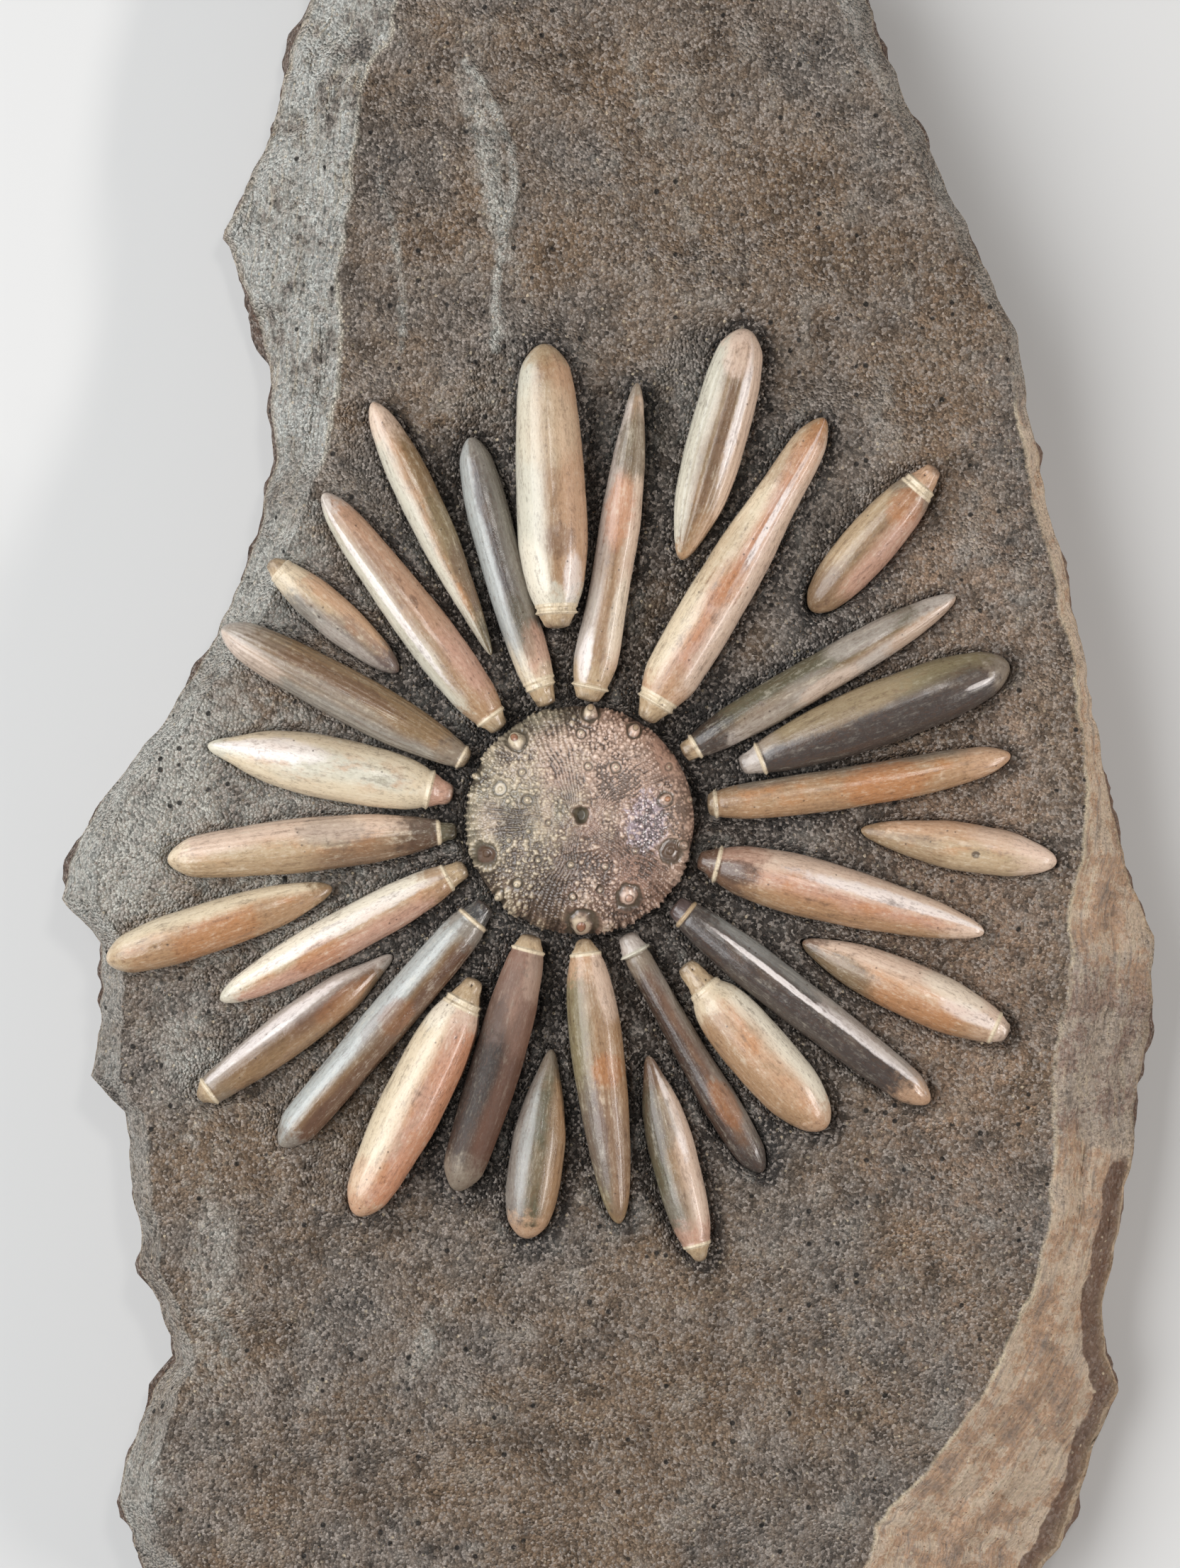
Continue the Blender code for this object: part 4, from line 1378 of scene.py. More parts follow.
    def shoulder(self, points: Array) -> Array:
        """How far the face rounds down towards the left edge at each plan point."""
        where, distance = self.to_capsule(points)
        border = self.around(where, self.edge - self.rim_inset - self.bevel)
        narrow = self.around(where, ease(self.bevel, 5.0, 2.5))
        left = ease(points[:, 0], -20.0, -40.0)
        flat = np.column_stack([points, np.zeros(len(points))])
        width = self.shoulder_width * (1 + 0.5 * self.noise.at(flat, 17.0))
        return self.shoulder_drop * left * narrow * np.clip(1 + (distance - border) / width, 0, 1) ** 2

    def face_points(self, border: Array) -> Array:
        """Points spread over the face, close together near the fossil's edges.

        Args:
            border: The face's edge as plan points.

        Returns:
            Rows of x, y.
        """
        rng = np.random.default_rng(self.seed)
        low, high = border.min(0), border.max(0)
        spread = []
        for step in (self.fine_step, self.coarse_step):
            grid = staggered_grid(low, high, step)
            grid += rng.uniform(-0.12, 0.12, grid.shape) * step
            where, distance = self.to_capsule(grid)
            edge = self.around(where, self.edge - self.rim_inset - self.bevel)
            spread.append(grid[distance < edge - 0.6 * step])
        gaps = [np.minimum(self.fossil_gap(grid)[0], np.hypot(*grid.T) - self.test_radius)
                for grid in spread]
        fine = spread[0][(gaps[0] < self.fine_reach) & (gaps[0] > -1.0)]
        deep = gaps[1] < -1.4
        kept = deep | (gaps[1] >= self.fine_reach + 0.4)
        coarse = spread[1][kept]
        return np.concatenate([fine, coarse[~deep[kept] | (rng.random(len(coarse)) < 0.3)]])

    def mesh(self) -> Mesh:
        """The closed mesh of the slab, with its colour masks."""
        border = self.loop(self.rim_inset + self.bevel)
        plan, triangles = meshed_plan(border, self.face_points(border))
        height, gap, masks = self.face_height(plan)
        face = np.column_stack([plan, height])
        count = len(border)
        rings, levels = self.side_rings(face[:count])
        points = np.concatenate([face] + rings)
        level = np.concatenate([np.zeros(len(face))] + [np.full(count, value) for value in levels])
        starts = [0] + [len(face) + count * n for n in range(len(rings))]
        mesh = new_mesh("matrix_slab", points, triangles.tolist() + skirt_faces(starts, count))
        beyond = len(points) - len(gap)
        gap = np.concatenate([gap, np.full(beyond, FAR)])
        masks = np.concatenate([masks, np.zeros((beyond, 2))])
        self.mark(mesh, points, level, gap, masks)
        return mesh

    def side_rings(self, edge: Array) -> tuple[list[Array], list[float]]:
        """The bevel, wall and underside loops below the face's edge.

        Args:
            edge: The points of the face's edge.

        Returns:
            The loops, and each loop's level: 4 is beneath.
        """
        rings, levels = [], []
        for step in range(1, self.bevel_rings + 1):
            part = step / self.bevel_rings
            plan = self.loop(self.rim_inset + self.bevel * (1 - part))
            hump = math.sin(math.pi * part)
            crown = 0.09 * (self.top - self.rim) * hump
            rim = np.minimum(self.rim, edge[:, 2] - 0.5)
            height = edge[:, 2] * (1 - part) + rim * part + crown
            ring = np.column_stack([plan, height])
            drawn = np.column_stack([0.1 * self.places, self.bevel * part, 0 * self.places])
            ring[:, 2] += 0.9 * hump * self.noise.at(drawn, 2.4) * ease(self.bevel, 2.5, 6.0)
            ring[:, 2] += part ** 0.5 * self.noise.layers(ring, (0.9, 0, 6.0), (0.5, 40, 2.4))
            rings.append(ring)
            levels.append(part)
        rim = rings[-1]
        bulge = np.column_stack([self.loop(0.0), self.bulge_share * self.rim])
        foot = self.ground_loop(self.foot_inset)
        for step in range(1, self.wall_rings + 1):
            part = 2 * step / self.wall_rings
            upper, lower, share = (rim, bulge, part) if part <= 1 else (bulge, foot, part - 1)
            ring = upper * (1 - share) + lower * share
            rough = self.noise.layers(ring, (0.9, 15, 7.0), (0.4, 75, 2.6))
            rough = rough * min(1.0, 3 * (2 - part)) * min(1.0, part * 3)
            place_round, distance = self.to_capsule(ring[:, :2])
            ring[:, :2] = self.from_capsule(place_round, distance + rough - 0.6)
            if part >= 2:
                ring[:, 2] = 0.0
            rings.append(ring)
            levels.append(1 + part)
        rings.append(self.ground_loop(self.foot_inset + 6.0))
        levels.append(4.0)
        return rings, levels

    def mark(self, mesh: Mesh, points: Array, level: Array, gap: Array,
             masks: Array) -> None:
        """Stores what the material reads.

        Args:
            mesh: The slab's mesh.
            points: Its points.
            level: 0 on the face, 0 to 1 over the bevel, 1 to 3 down the wall.
            gap: Each point's gap to the fossil.
            masks: How much each point darkens near the fossil, partly darker stone and partly painted shade,
                and its fine relief.
        """
        tones = {name: np.zeros((len(points), 3)) for name in ("stone_light", "stone_dark")}
        for patch in STONE_PATCHES:
            name, part = patch.tone.value
            tones[name][:, part] = np.maximum(tones[name][:, part], patch.cover(points))
        x, y = points[:, 0], points[:, 1]
        where, distance = self.to_capsule(points[:, :2])
        border = self.edge - self.rim_inset - self.bevel
        inside = distance - self.around(where, border)
        bevel = self.around(where, self.bevel)
        past = np.where(level > 0, np.minimum(level, 1.0) * bevel, np.clip(inside, -8.0, 0.0))
        left = ease(x, 0.0, -12.0)
        outward = bevel - np.clip(past, 0.0, None)
        strip = ease(outward, 5.5, 3.0) * ease(y, -52, -64) * ease(outward, -0.1, 0.4)
        granular = np.exp(-((y + 40) / 24) ** 2)
        upper_left = left * ease(y, 50, 66)
        run = np.minimum(where, self.perimeter - where)
        right = (1 - left) * ease(y, 88, 62)
        # Darkening near the fossil: partly darker stone, partly painted shade; kept weaker on the open left
        # and right sides, which the lamps light.
        dark_soil_and_shade = np.clip(0.75 * masks[:, 0] + 0.35 * fade(gap, 1.2), 0, 1)
        open_side = np.maximum(ease(x, -18, -52), 0.6 * ease(x, 30, 60))
        dark_soil_and_shade *= 1 - 0.72 * open_side
        stored = tones | {
            "stone_near": np.column_stack([dark_soil_and_shade, masks[:, 1], gap]),
            "stone_edge": np.column_stack([past, upper_left, right]),
            "stone_level": np.column_stack([level, granular, outward]),
            "stone_run": np.column_stack([run, past, strip * (1 - left)]),
        }
        for name, columns in stored.items():
            store(mesh, name, columns)
        face = (level < 0.95) & (gap > 0.2)
        store(mesh, "sand", face.astype(float) * (1 - 0.6 * (level > 0)))

    def material(self) -> Material:
        """The sandstone: grains, mottle, patches, darkening by the fossil that is partly darker stone and
        partly painted shade, and a painted highlight along the bevel's inner edge.
        """
        surface = Surface(roughness=0.8, specular=0.4, bump=1.15)
        material, graph, shader = surface.start("weathered sandstone")
        place_in = graph.add("ShaderNodeTexCoord").outputs["Object"]
        grain = graph.group(SHARED["grain"], {"Vector": place_in, "Grain": 1900.0})
        light, dark, near, edge, levels = (
            graph.split(graph.attribute(f"stone_{name}")["Vector"])
            for name in ("light", "dark", "near", "edge", "level"))
        run, level = graph.attribute("stone_run")["Vector"], levels[0]
        broad = graph.noise(place_in, 38.0, 4.0, 0.6)
        streaky = graph.noise(graph.vector("MULTIPLY", run, (0.08, 1.0, 0.0)), 1.1, 4.0, 0.7)
        colour = graph.mix(graph.ramp(broad, 0.35, 0.65), Hue.SHALE, Hue.EARTH)
        cloud = graph.noise(place_in, 95.0, 3.0, 0.6)
        colour = graph.tints(colour, (Hue.SLATE, cloud, 0.5, 0.3, 0.2), (Hue.PEARL, cloud, 0.52, 0.75, 0.3))
        rag = graph.scaled(grain["Mottle"], 1.2, -0.6)
        tatter = graph.scaled(graph.noise(place_in, 420.0, 4.0, 0.7), 1.4, -0.7)
        tatter = graph.scaled(rag, 0.6, tatter)
        for mask, hue, strength in ((dark[0], Hue.EARTH, 0.9), (dark[1], Hue.PEWTER, 0.5),
                                    (light[0], Hue.FROST, 0.9), (light[1], Hue.BUFF, 0.6)):
            soft = graph.ramp(graph.math("ADD", mask, tatter), 0.15, 0.85, 0.0, strength)
            colour = graph.cover(colour, hue, soft, graph.ramp(mask, 0.02, 0.2))
        past = graph.scaled(rag, 1.6, edge[0])
        beyond = graph.ramp(past, -0.3, 0.5)
        bevel = graph.mix(edge[2], Hue.FROST, Hue.BUFF)
        spread = graph.scaled(graph.noise(place_in, 60.0, 5.0, 0.65), 2.0, -1.0)
        granular = graph.ramp(graph.math("ADD", levels[1], spread), 0.45, 0.75, 0.0, 0.6)
        granular = graph.times(granular, edge[2])
        bevel = graph.mix(granular, bevel, Hue.DUSK)
        blotch = graph.noise(place_in, 120.0, 7.0, 0.75)
        dim = graph.scaled(edge[2], -0.5, 0.9)
        frosted = graph.mix(edge[2], Hue.RIME, Hue.BONE)
        bevel = graph.tints(bevel, (Hue.SHALE, blotch, 0.46, 0.4, dim), (Hue.SLATE, blotch, 0.4, 0.34, dim),
            (frosted, blotch, 0.46, 0.53, dim), (Hue.SHALE, streaky, 0.5, 0.34, 0.6),
            (Hue.CREAM, streaky, 0.52, 0.7, 0.65))
        strip = graph.math("ADD", graph.split(run)[2], graph.times(rag, 1.3))
        bevel = graph.tint(bevel, Hue.IRON, strip, 0.42, 0.6, 0.85)
        shown = graph.math("MAXIMUM", graph.times(edge[1], 0.9), graph.times(edge[2], 0.9))
        shown = graph.math("MAXIMUM", shown, 0.35)
        colour = graph.cover(colour, bevel, beyond, shown)
        # A pale line along the bevel's inner edge: a painted highlight on the arris.
        line = graph.times(graph.ramp(past, -0.4, 0.1), graph.ramp(past, 1.1, 0.2))
        broken = graph.ramp(graph.noise(place_in, 110.0, 2.0, 0.6), 0.4, 0.6, 0.35, 0.95)
        line = graph.times(line, graph.times(broken, graph.ramp(shown, 0.4, 0.9)))
        colour = graph.mix(line, colour, graph.mix(edge[2], Hue.BONE, Hue.CREAM))
        # PITCH by the first near value: darker stone and painted shade round the fossil.
        colour = graph.tints(colour, (Hue.SAND, level, 0.9, 1.0, 0.5), (Hue.IRON, level, 1.02, 1.25, 0.85),
            (Hue.PITCH, near[0], 0.12, 1.0, 0.8), (Hue.INK, near[1], -0.05, -0.5, 0.4),
            (Hue.FROST, near[1], 0.15, 0.65, 0.2))
        smooth = graph.times(edge[2], graph.scaled(granular, -0.6, 0.65))
        grit = graph.math("SUBTRACT", 1.0, graph.times(beyond, smooth))
        tones = graph.ramp(grain["Tone"], 0.0, 0.5, 0.56, 0.0)
        colour = graph.cover(colour, Hue.INK, tones, grit)
        glints = graph.ramp(grain["Tone"], 0.5, 1.0, 0.0, 0.65)
        colour = graph.cover(colour, Hue.PEARL, glints, grit)
        colour = graph.cover(colour, Hue.CREAM, grain["Pale"], 0.7)
        holes = graph.times(graph.times(grain["Dark"], 0.9), graph.ramp(grit, 0.5, 1.0))
        colour = graph.mix(holes, colour, Hue.INK)
        graph.feed(shader.inputs["Base Color"], colour)
        ridged = graph.times(streaky, graph.times(beyond, 1.6))
        surface.raise_bump(graph, shader, graph.scaled(grain["Height"], grit, ridged))
        return material

    def build(self) -> Object:
        """Builds and dresses the slab."""
        mesh = self.mesh()
        mesh.materials.append(self.material())
        piece = new_object("slab", mesh)
        place(piece, "matrix", "matrix_slab")
        return piece


# ---- sand


def sand_tree() -> NodeTree:
    """The geometry tree that scatters loose sand grains over a mesh, thickest where its sand value is high.

    Returns:
        The tree.
    """
    graph = new_group(
        "sand scatter", "GeometryNodeTree",
        {"Geometry": "Geometry", "Density": 1e5, "Seed": 0, "Smallest": 0.0002, "Largest": 0.0004,
         "Sunk": 0.0001, "Finish": "Material"},
        {"Geometry": "Geometry"},
    )
    source = graph.source
    feeds = {"Mesh": source["Geometry"], "Seed": source["Seed"],
             "Density": graph.times(graph.named("sand"), source["Density"])}
    spread = graph.add("GeometryNodeDistributePointsOnFaces", feeds, distribute_method="RANDOM").outputs
    sunk = graph.along(spread["Normal"], graph.times(source["Sunk"], -1.0))
    settled = graph.shape("SetPosition", {"Geometry": spread["Points"], "Offset": sunk})
    grain = graph.shape("MeshUVSphere", {"Segments": 4, "Rings": 2, "Radius": 1.0})
    whole_turn = (math.tau, math.tau, math.tau)
    turned, size = (graph.add("FunctionNodeRandomValue", {"Min": low, "Max": high, "Seed": seed},
                              data_type="FLOAT_VECTOR").outputs[0]
                    for low, high, seed in (((0.0, 0.0, 0.0), whole_turn, 3),
                                            (source["Smallest"], source["Largest"], 5)))
    rotation = graph.add("FunctionNodeEulerToRotation", {0: turned}).outputs[0]
    placed = graph.shape("InstanceOnPoints",
                         {"Points": settled, "Instance": grain, "Rotation": rotation, "Scale": size})
    shade = graph.add("FunctionNodeRandomValue", {"Seed": 8}, data_type="FLOAT").outputs[1]
    return graph.finish(graph.shape(
        "StoreNamedAttribute", {"Geometry": placed, "Name": "grain_shade", "Value": shade},
        data_type="FLOAT", domain="INSTANCE"))


@dataclass(frozen=True)
class Sand:
    """One kind of sand grain on the slab: how many there are, how large, and the shades it runs between."""

    name: str
    count: int
    smallest: float
    largest: float
    dark: Hue
    pale: Hue
    seed: int
    roughness: float = 0.7

    def material(self) -> Material:
        """The grains' finish: a shade for each grain with a fine mottle on it."""
        surface = Surface(roughness=self.roughness, specular=0.4, bump=0.04)
        material, graph, shader = surface.start(f"{self.name} grains")
        shade = graph.attribute("grain_shade")["Fac"]
        place_in = graph.add("ShaderNodeTexCoord").outputs["Object"]
        fine = graph.noise(place_in, 2600.0, 2.0, 0.6)
        tone = graph.about(fine, 0.6, shade)
        graph.feed(shader.inputs["Base Color"], graph.mix(tone, self.dark.colour, self.pale.colour))
        surface.raise_bump(graph, shader, fine)
        return material

    def build(self, tree: NodeTree, slab: Object) -> Object:
        """Scatters the grains.

        Args:
            tree: The sand scatter tree.
            slab: The slab whose sand value says where they go.

        Returns:
            The grains as one piece.
        """
        values = {"Density": self.count / SANDED_AREA, "Seed": self.seed, "Smallest": self.smallest * MM,
                  "Largest": self.largest * MM, "Sunk": 0.12 * MM, "Finish": self.material()}
        mesh = grown_mesh(self.name, slab.data.copy(), tree, values)
        piece = new_object(self.name, mesh)
        place(piece, "matrix")
        return piece


SANDS = (
    Sand("sand_grey", 30000, 0.13, 0.27, Hue.MAUVE, Hue.ASH, 1),
    Sand("sand_brown", 24000, 0.13, 0.27, Hue.UMBER, Hue.EARTH, 2),
    Sand("sand_pale", 4000, 0.11, 0.20, Hue.PEARL, Hue.CREAM, 3, 0.45),
)


# ---- test


@dataclass(frozen=True)
class Tubercle:
    """A spine's seat on the test. boss and rim are heights by its radius; a negative boss is a crater."""

    angle: float
    distance: float
    radius: float
    boss: float = 0.42
    rim: float = 0.12
    hue: Hue = Hue.CREAM


TUBERCLES = tuple(Tubercle(*row) for row in (
    (59, 17.6, 1.5, 0.5, 0.05, Hue.SAND), (84.5, 18.3, 1.9, 0.45, 0.05, Hue.SAND),
    (128.3, 17.1, 2.3, 0.4, 0.16, Hue.RUST), (157.2, 18.9, 1, 0.6, 0.02, Hue.CREAM),
    (199.6, 16.9, 2.5, -0.2, 0.2, Hue.IRON), (223.2, 18.6, 1.3, 0.5, 0.05, Hue.CREAM),
    (270.8, 17.5, 3, 0.16, 0.06, Hue.RUST), (302.5, 15.2, 2.5, 0.2, 0.05, Hue.PINK),
    (341, 16.2, 2.4, -0.14, 0.1, Hue.BROWN), (346.5, 18, 1.1, 0.5, 0.05, Hue.SHELL),
    (13.8, 14.8, 1.7, 0.4, 0.14, Hue.ORANGE), (10.5, 18.9, 0.9, 0.55, 0.05, Hue.CREAM),
    (225.6, 15, 1.2, 0.45, 0.06, Hue.CREAM), (158.6, 14.4, 1.5, -0.1, 0.18, Hue.CREAM),
    (159, 9.4, 1.1, 0.3, 0.12, Hue.CREAM), (89, 14.5, 1.1), (56, 10.7, 1.2, 0.4, 0.08), (81, 9.2, 0.8),
    (224, 9.7, 0.8), (259, 7.6, 0.9), (299, 8.8, 0.9), (265, 12.9, 0.9), (196, 12.4, 0.8), (192, 8.8, 0.7),
    (184, 5.2, 0.6), (331, 10.6, 0.8), (286, 12.2, 0.8), (31, 17.4, 0.8), (140, 12.6, 0.8),
))


@dataclass(frozen=True)
class Spot:
    """A soft oval on the test: its middle and half sizes."""

    x: float
    y: float
    half_x: float
    half_y: float

    def cover(self, plan: Array) -> Array:
        """How much of the spot each plan point gets."""
        return bell(plan[:, 0], self.x, self.half_x) * bell(plan[:, 1], self.y, self.half_y)


# A glossy patch on the right of the test: its lower roughness is real, its lilac colour and white glints are
# a painted reflection of the right-hand lamp.
GLOSS_AND_PAINTED_REFLECTION_SPOT = Spot(11.2, -0.4, 4, 5.4)
DARK_SPOTS = tuple(Spot(*row) for row in ((8.6, 11.4, 3, 1.6), (13, 6.8, 1.6, 1.8), (2, -9.5, 6, 3),
    (5, -1.5, 2.2, 3.5), (-7, -6.5, 4, 3)))
PALE_SPOTS = tuple(Spot(*row) for row in ((-5.4, 1.6, 1.2, 4.2), (-9, 10, 6, 5), (-15, 0, 2.5, 4),
    (6, 7, 6, 5), (2, 13, 7, 4), (16.5, 0, 3, 9)))


@dataclass
class UrchinTest:
    """The rounded shell in the middle: rays of beaded lines, tubercles, granules and the mouth."""

    radius: float = 19.3
    dome: float = 10.0
    base: float = 9.0
    fullness: float = 0.8
    top: float = 26.0
    mouth: tuple[float, float] = (0.2, 0.9)
    mouth_radius: float = 1.1
    mouth_depth: float = 1.1
    step: float = 0.135
    lines: float = 7.0
    bead_gap: float = 0.5
    crescent: tuple[float, float] = (-14.0, 52.0)
    rays: tuple[float, ...] = (36.0, 108.0, 180.0, 252.0, 324.0)
    base_latitudes: tuple[float, ...] = (-8.0, -16.0, -24.0, -38.0, -52.0)
    granule_kinds: tuple[tuple[float, ...], ...] = (
        (0.6, 0.25, 0.55, 4), (0.92, 0.36, 0.8, 6), (1.9, 0.52, 1.15, 5))
    seed: int = 21

    def __post_init__(self) -> None:
        """Tabulates the dome's profile by the length along it."""
        self.noise = SmoothNoise(self.seed)
        angles = np.radians(np.linspace(90, 0, 400))
        radii = self.radius * np.cos(angles) ** self.fullness
        heights = self.dome * np.sin(angles)
        self.lengths = np.concatenate([[0], np.cumsum(np.hypot(np.diff(radii), np.diff(heights)))])
        self.profile_radii, self.profile_heights = radii, heights

    def relief(self, plan: Array) -> tuple[Array, Array]:
        """The height of the shell's detail above the smooth dome.

        Args:
            plan: Rows of x, y.

        Returns:
            The relief in millimetres, and masks of beads, tubercles and hollows.
        """
        distance = np.hypot(*plan.T)
        angle = np.degrees(np.arctan2(plan[:, 1], plan[:, 0]))
        flat = np.column_stack([plan, np.zeros(len(plan))])
        relief = self.noise.layers(flat, (0.16, 0, 6.0), (0.09, 9, 2.2), (0.05, 0, 0.8))
        in_ray, lines = np.zeros(len(plan)), np.zeros(len(plan))
        sway = 0.3 * self.noise.at(flat + 17, 3.2)
        for ray in self.rays:
            off = np.radians((angle - ray + 180) % 360 - 180)
            lateral = distance * np.sin(off) + sway
            half = 0.6 + 0.165 * distance
            ahead = np.cos(off) > 0.2
            inside = ahead * ease(np.abs(lateral), half + 0.3, half - 0.3)
            place_across = self.lines * (0.5 + 0.5 * lateral / half)
            cross = 0.5 + 0.5 * np.cos(math.tau * place_across)
            beads = np.cos(math.tau * distance / self.bead_gap + math.pi * np.round(place_across))
            lines = np.maximum(lines, inside * cross ** 1.5 * (0.68 + 0.32 * beads))
            in_ray = np.maximum(in_ray, inside)
        grains, crown = self.granules(plan)
        relief += 0.3 * lines - 0.06 * in_ray + 0.46 * grains * (1 - 0.55 * in_ray)
        relief += 0.4 * self.noise.at(flat + 66, 2.7) * ease(distance, 16.0, 18.6)
        ring, top, hollow = np.zeros(len(plan)), np.zeros((len(plan), 3)), np.zeros(len(plan))
        for knob in TUBERCLES:
            heading = math.radians(knob.angle)
            centre = knob.distance * np.array([math.cos(heading), math.sin(heading)])
            uneven = 1 + 0.12 * self.noise.at(flat + 31, 1.1)
            away = np.linalg.norm(plan - centre, axis=1) / (knob.radius * uneven)
            clear = ease(away, 1.2, 0.95)
            beaded = 0.75 + 0.25 * np.cos(np.arctan2(*(plan - centre).T) * round(8 * knob.radius))
            relief = relief * (1 - 0.93 * clear)
            crown = crown * (1 - clear)
            relief += knob.radius * (
                knob.rim * beaded * bell(away, 1.0, 0.2) - 0.1 * bell(away, 0.76, 0.16)
                + knob.boss * ease(away, 0.72, 0.3) + 0.14 * ease(away, 0.3, 0.14))
            crest = bell(away, 0.42, 0.13) if knob.boss > 0 else 0.5 * bell(away, 1, 0.2)
            ring = np.maximum(ring, crest * (0.8 + 0.3 * self.noise.at(flat + 40, 0.9)))
            cap = ease(away, 0.32, 0.2) if knob.boss > 0 else ease(away, 0.8, 0.45)
            top = np.where(cap[:, None] > 0.02, cap[:, None] * np.array(knob.hue.colour[:3]), top)
            hollow = np.maximum(hollow, 0.6 * bell(away, 0.76, 0.14))
            if knob.boss < 0:
                hollow = np.maximum(hollow, 0.3 * ease(away, 0.8, 0.3))
        low, high = self.crescent
        along = ease(angle, low - 5, low + 8) * ease(angle, high + 5, high - 10)
        self.worn = along * ease(distance + 0.5 * self.noise.at(flat + 70, 2.0), 15.8, 16.8)
        relief, ring = relief * (1 - 0.75 * self.worn), ring * (1 - self.worn)
        wobble = 1 + 0.22 * self.noise.at(flat + 3, 1.5)
        aside, ahead = plan[:, 0] - self.mouth[0], (plan[:, 1] - self.mouth[1]) * 0.72
        from_mouth = np.hypot(aside, ahead) / (self.mouth_radius * wobble)
        relief = relief * ease(from_mouth, 0.8, 1.5) - self.mouth_depth * ease(from_mouth, 1.15, 0.45)
        relief += 0.2 * bell(from_mouth, 1.5, 0.35)
        hollow = np.maximum(hollow, ease(from_mouth, 1.15, 0.75))
        pale = np.maximum(ring, 0.6 * crown * (1 - 0.8 * in_ray))
        self.caps = top
        return relief, np.column_stack([pale, lines, hollow])

    def granules(self, plan: Array) -> tuple[Array, Array]:
        """Small round granules of three sizes.

        Args:
            plan: Rows of x, y.

        Returns:
            Their relief, and the mask of the two larger sizes.
        """
        relief = np.zeros(len(plan))
        large_mask = np.zeros(len(plan))
        for cell, size, height, seed in self.granule_kinds:
            rng = np.random.default_rng(seed)
            table = rng.uniform(0.12, 0.88, (64, 64, 3))
            place_in = plan / cell
            whole = np.floor(place_in).astype(int)
            nearest = np.full(len(plan), 9.0)
            for dx in (-1, 0, 1):
                for dy in (-1, 0, 1):
                    cells = whole + (dx, dy)
                    spot = table[cells[:, 0] % 64, cells[:, 1] % 64]
                    away = np.linalg.norm(cells + spot[:, :2] - place_in, axis=1) * cell
                    nearest = np.minimum(nearest, away / (size * (0.35 + 0.85 * spot[:, 2])))
            dome = np.sqrt(np.maximum(1 - nearest ** 2, 0))
            relief = np.maximum(relief, height * dome)
            if cell > 0.7:
                large_mask = np.maximum(large_mask, ease(nearest, 0.75, 0.35))
        return relief, large_mask

    def mesh(self) -> Mesh:
        """The closed mesh of the test, from a close dome down to its buried base."""
        total = self.lengths[-1]
        spread = staggered_grid((-total, -total), (total, total), self.step)
        spread = spread[np.hypot(*spread.T) < total - 0.7 * self.step]
        spread += np.random.default_rng(self.seed).uniform(-0.1, 0.1, spread.shape) * self.step
        count = int(math.tau * total / (self.step * 1.2))
        turns = math.tau * np.arange(count) / count
        border = total * np.column_stack([np.cos(turns), np.sin(turns)])
        disc, triangles = meshed_plan(border, spread)
        length = np.hypot(*disc.T)
        turn = np.arctan2(disc[:, 1], disc[:, 0])
        radius = np.interp(length, self.lengths, self.profile_radii)
        height = np.interp(length, self.lengths, self.profile_heights)
        plan = radius[:, None] * np.column_stack([np.cos(turn), np.sin(turn)])
        relief, masks = self.relief(plan)
        relief *= ease(total - length, 0.0, 0.8)
        slope_out = np.interp(length, self.lengths, np.gradient(self.profile_heights, self.lengths))
        slope_in = np.interp(length, self.lengths, np.gradient(self.profile_radii, self.lengths))
        normal = np.column_stack([-slope_out * np.cos(turn), -slope_out * np.sin(turn), slope_in])
        points = np.column_stack([plan, self.top + height]) + relief[:, None] * normal
        rings = []
        for latitude in self.base_latitudes:
            angle = math.radians(latitude)
            around = self.radius * math.cos(angle) ** self.fullness
            rings.append(np.column_stack([around * np.cos(turns), around * np.sin(turns),
                                          np.full(count, self.top + self.base * math.sin(angle))]))
        starts = [0] + [len(points) + count * n for n in range(len(rings))]
        everything = np.concatenate([points] + rings)
        mesh = new_mesh("urchin_test", everything, triangles.tolist() + skirt_faces(starts, count))
        beyond = len(everything) - len(plan)
        shade = np.column_stack([
            sum(spot.cover(plan) for spot in DARK_SPOTS), sum(spot.cover(plan) for spot in PALE_SPOTS),
            GLOSS_AND_PAINTED_REFLECTION_SPOT.cover(plan)])
        for name, columns in (("shell", masks), ("shell_shade", shade), ("shell_caps", self.caps)):
            store(mesh, name, np.concatenate([columns, np.zeros((beyond, 3))]))
        store(mesh, "relief", np.concatenate([relief, np.zeros(beyond)]))
        store(mesh, "worn", np.concatenate([self.worn, np.zeros(beyond)]))
        return mesh

    def material(self) -> Material:
        """The shell's finish: grey-tan on the left, pinker on the right, dark in its hollows, with painted
        shade towards its lower side and between its granules, painted highlights on their tops and a painted
        reflection on its glossy patch.
        """
        surface = Surface(0.42, 0.6, 0.8, 0.22, 0.1)
        material, graph, shader = surface.start("urchin shell")
        place_in = graph.add("ShaderNodeTexCoord").outputs["Object"]
        shell = graph.split(graph.attribute("shell")["Vector"])
        shade = graph.split(graph.attribute("shell_shade")["Vector"])
        caps = graph.attribute("shell_caps")["Vector"]
        worn = graph.attribute("worn")["Fac"]
        relief = graph.attribute("relief")["Fac"]
        parts = graph.split(place_in)
        broad = graph.noise(place_in, 120.0, 3.0, 0.6)
        mottle = graph.noise(place_in, 900.0, 4.0, 0.65)
        side = graph.about(broad, 0.03, parts[0])
        colour = graph.mix(graph.ramp(side, -0.010, 0.004), Hue.LICHEN, Hue.ROSE)
        tips = graph.mix(graph.ramp(side, -0.006, 0.006), Hue.CREAM, Hue.BISQUE)
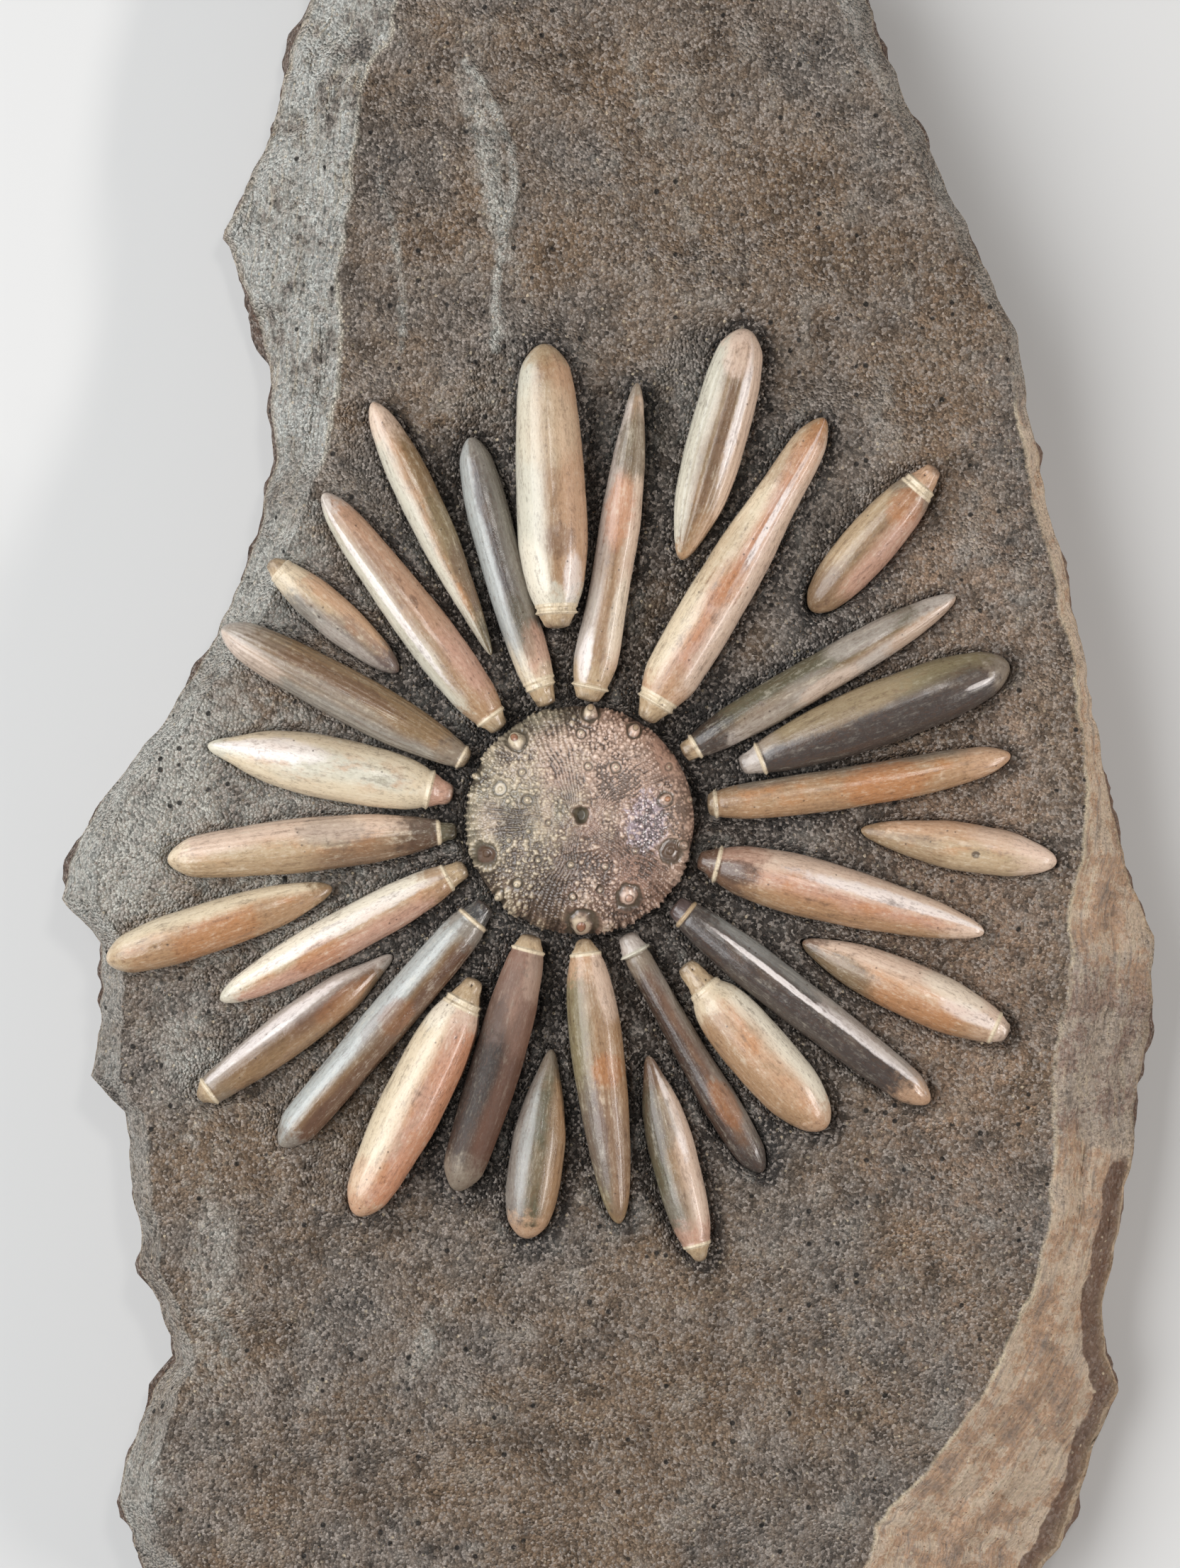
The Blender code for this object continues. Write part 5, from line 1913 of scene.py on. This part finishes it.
        # Painted shade: the dome darkens to brown towards its lower side.
        lower = graph.math("SUBTRACT", graph.times(side, 0.35), parts[1])
        colour = graph.tint(colour, Hue.BROWN, lower, -0.006, 0.012, 0.7)
        rosy = graph.times(graph.ramp(side, 0.002, 0.012), graph.ramp(broad, 0.4, 0.6, 0.3, 0.8))
        colour = graph.cover(colour, Hue.PINK, rosy, 0.6)
        colour = graph.cover(colour, Hue.PINK, worn, 0.8)
        colour = graph.cover(colour, Hue.UMBER, graph.ramp(shade[0], 0.2, 1.0), 0.45)
        colour = graph.cover(colour, Hue.SHELL, graph.ramp(shade[1], 0.1, 0.9), 0.4)
        # Glossy patch: the lower roughness below is real; the lilac cover and white glints are a painted
        # reflection.
        gloss_and_painted_reflection = graph.ramp(graph.about(mottle, 1.4, shade[2]), 0.35, 0.6)
        colour = graph.cover(colour, Hue.LILAC, gloss_and_painted_reflection, 0.5)
        # Painted shade in the low relief between granules and beads, painted highlights on their tops.
        colour = graph.tints(colour, (Hue.UMBER, relief, 0.09, -0.06, 0.7), (tips, relief, 0.2, 0.5, 0.45))
        colour = graph.cover(colour, tips, shell[0], 0.8)
        colour = graph.tint(colour, Hue.UMBER, mottle, 0.5, 0.32, 0.6)
        glint_feeds = {"Vector": place_in, "Cells": 1900.0, "Share": 0.5, "Spread": 0.42}
        glints = graph.group(SHARED["specks"], glint_feeds)
        sparkle = graph.times(gloss_and_painted_reflection, graph.times(glints["Mask"], 0.8))
        colour = graph.mix(sparkle, colour, Hue.GLOSS)
        capped = graph.add("ShaderNodeVectorMath", {0: caps}, operation="LENGTH").outputs["Value"]
        colour = graph.tint(colour, caps, capped, 0.02, 0.12, 0.8)
        colour = graph.cover(colour, Hue.MOSS, shell[2], 0.7)
        graph.feed(shader.inputs["Base Color"], colour)
        graph.feed(shader.inputs["Roughness"], graph.scaled(gloss_and_painted_reflection, -0.25, 0.42))
        surface.raise_bump(graph, shader, mottle)
        return material

    def build(self) -> Object:
        """Builds and dresses the test."""
        mesh = self.mesh()
        mesh.materials.append(self.material())
        piece = new_object("test_shell", mesh)
        place(piece, "test", "urchin_test")
        return piece


# ---- studio


@dataclass
class Studio:
    """The floor, the lights and the camera."""

    floor_size: float = 3000.0
    floor_drop: float = 0.05
    face_height: float = 26.0
    camera_height: float = 900.0
    view_height: float = 265.4
    middle: tuple[float, float] = (1.7, 6.1)
    sensor: float = 36.0
    floor_colour: Colour = (0.62, 0.62, 0.61, 1.0)
    fill_colour: Colour = (0.95, 0.97, 1.0, 1.0)
    fill_strength: float = 0.14

    def floor(self) -> None:
        """A plain pale floor just under the slab."""
        half = self.floor_size / 2
        corners = np.array([(-half, -half, -self.floor_drop), (half, -half, -self.floor_drop),
                            (half, half, -self.floor_drop), (-half, half, -self.floor_drop)])
        mesh = new_mesh("floor", corners, [(0, 1, 2, 3)])
        material, _, shader = Surface(roughness=0.8, specular=0.2).start("pale floor")
        shader.inputs["Base Color"].default_value = self.floor_colour
        mesh.materials.append(material)
        new_object("floor", mesh)

    def light(self, name: str, at: tuple[float, float, float], size: tuple[float, float], power: float,
              tint: tuple[float, float, float]) -> None:
        """A soft rectangular light that faces the fossil.

        Args:
            name: The light's name.
            at: Its middle, in millimetres.
            size: Its width and height, in millimetres.
            power: Its power in watts.
            tint: Its colour.
        """
        data = bpy.data.lights.new(name, "AREA")
        data.shape = "RECTANGLE"
        data.size, data.size_y = size[0] * MM, size[1] * MM
        data.energy = power
        data.color = tint
        lamp = bpy.data.objects.new(name, data)
        bpy.context.scene.collection.objects.link(lamp)
        lamp.location = Vector(at) * MM
        aim = Vector((0.0, 0.0, self.face_height * MM)) - lamp.location
        lamp.rotation_euler = aim.to_track_quat("-Z", "Y").to_euler()

    def camera(self) -> None:
        """The camera, straight above the face."""
        data = bpy.data.cameras.new("camera")
        data.sensor_width = self.sensor
        data.lens = self.sensor * self.camera_height / self.view_height
        data.clip_start, data.clip_end = 0.01, 50.0
        camera = bpy.data.objects.new("camera", data)
        bpy.context.scene.collection.objects.link(camera)
        camera.location = Vector((*self.middle, self.face_height + self.camera_height)) * MM
        bpy.context.scene.camera = camera

    def world(self) -> None:
        """A dim even fill."""
        world = bpy.data.worlds.new("studio")
        bpy.context.scene.world = world
        world.use_nodes = True
        background = world.node_tree.nodes["Background"]
        background.inputs["Color"].default_value = self.fill_colour
        background.inputs["Strength"].default_value = self.fill_strength

    def build(self) -> None:
        """Sets the whole studio."""
        self.floor()
        self.light("window", (-640.0, 60.0, 700.0), (1100.0, 900.0), 13.5, (0.97, 0.98, 1.0))
        self.light("strip", (780.0, -200.0, 520.0), (640.0, 75.0), 5.2, (1.0, 0.95, 0.92))
        self.light("lamp", (130.0, 260.0, 900.0), (90.0, 90.0), 0.9, (1.0, 0.98, 0.95))
        self.world()
        self.camera()
        bpy.context.scene.view_settings.view_transform = "Standard"


def main() -> None:
    """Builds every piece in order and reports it."""
    logging.basicConfig(level=logging.INFO, format="%(name)s: %(message)s")
    slots = {row["node"]: row["material_slot"] for row in frame["record"]["subparts"]}
    make_shared_looks()
    Studio().build()
    clubs = [Club(name, finish) for name, finish in CLUBS.items()]
    sweep = club_sweep_tree()
    for club in clubs:
        club.build(sweep, slots[club.name])
    slab = MatrixSlab(clubs).build()
    scatter = sand_tree()
    for sand in SANDS:
        sand.build(scatter, slab)
    UrchinTest().build()


if __name__ == "__main__":
    main()
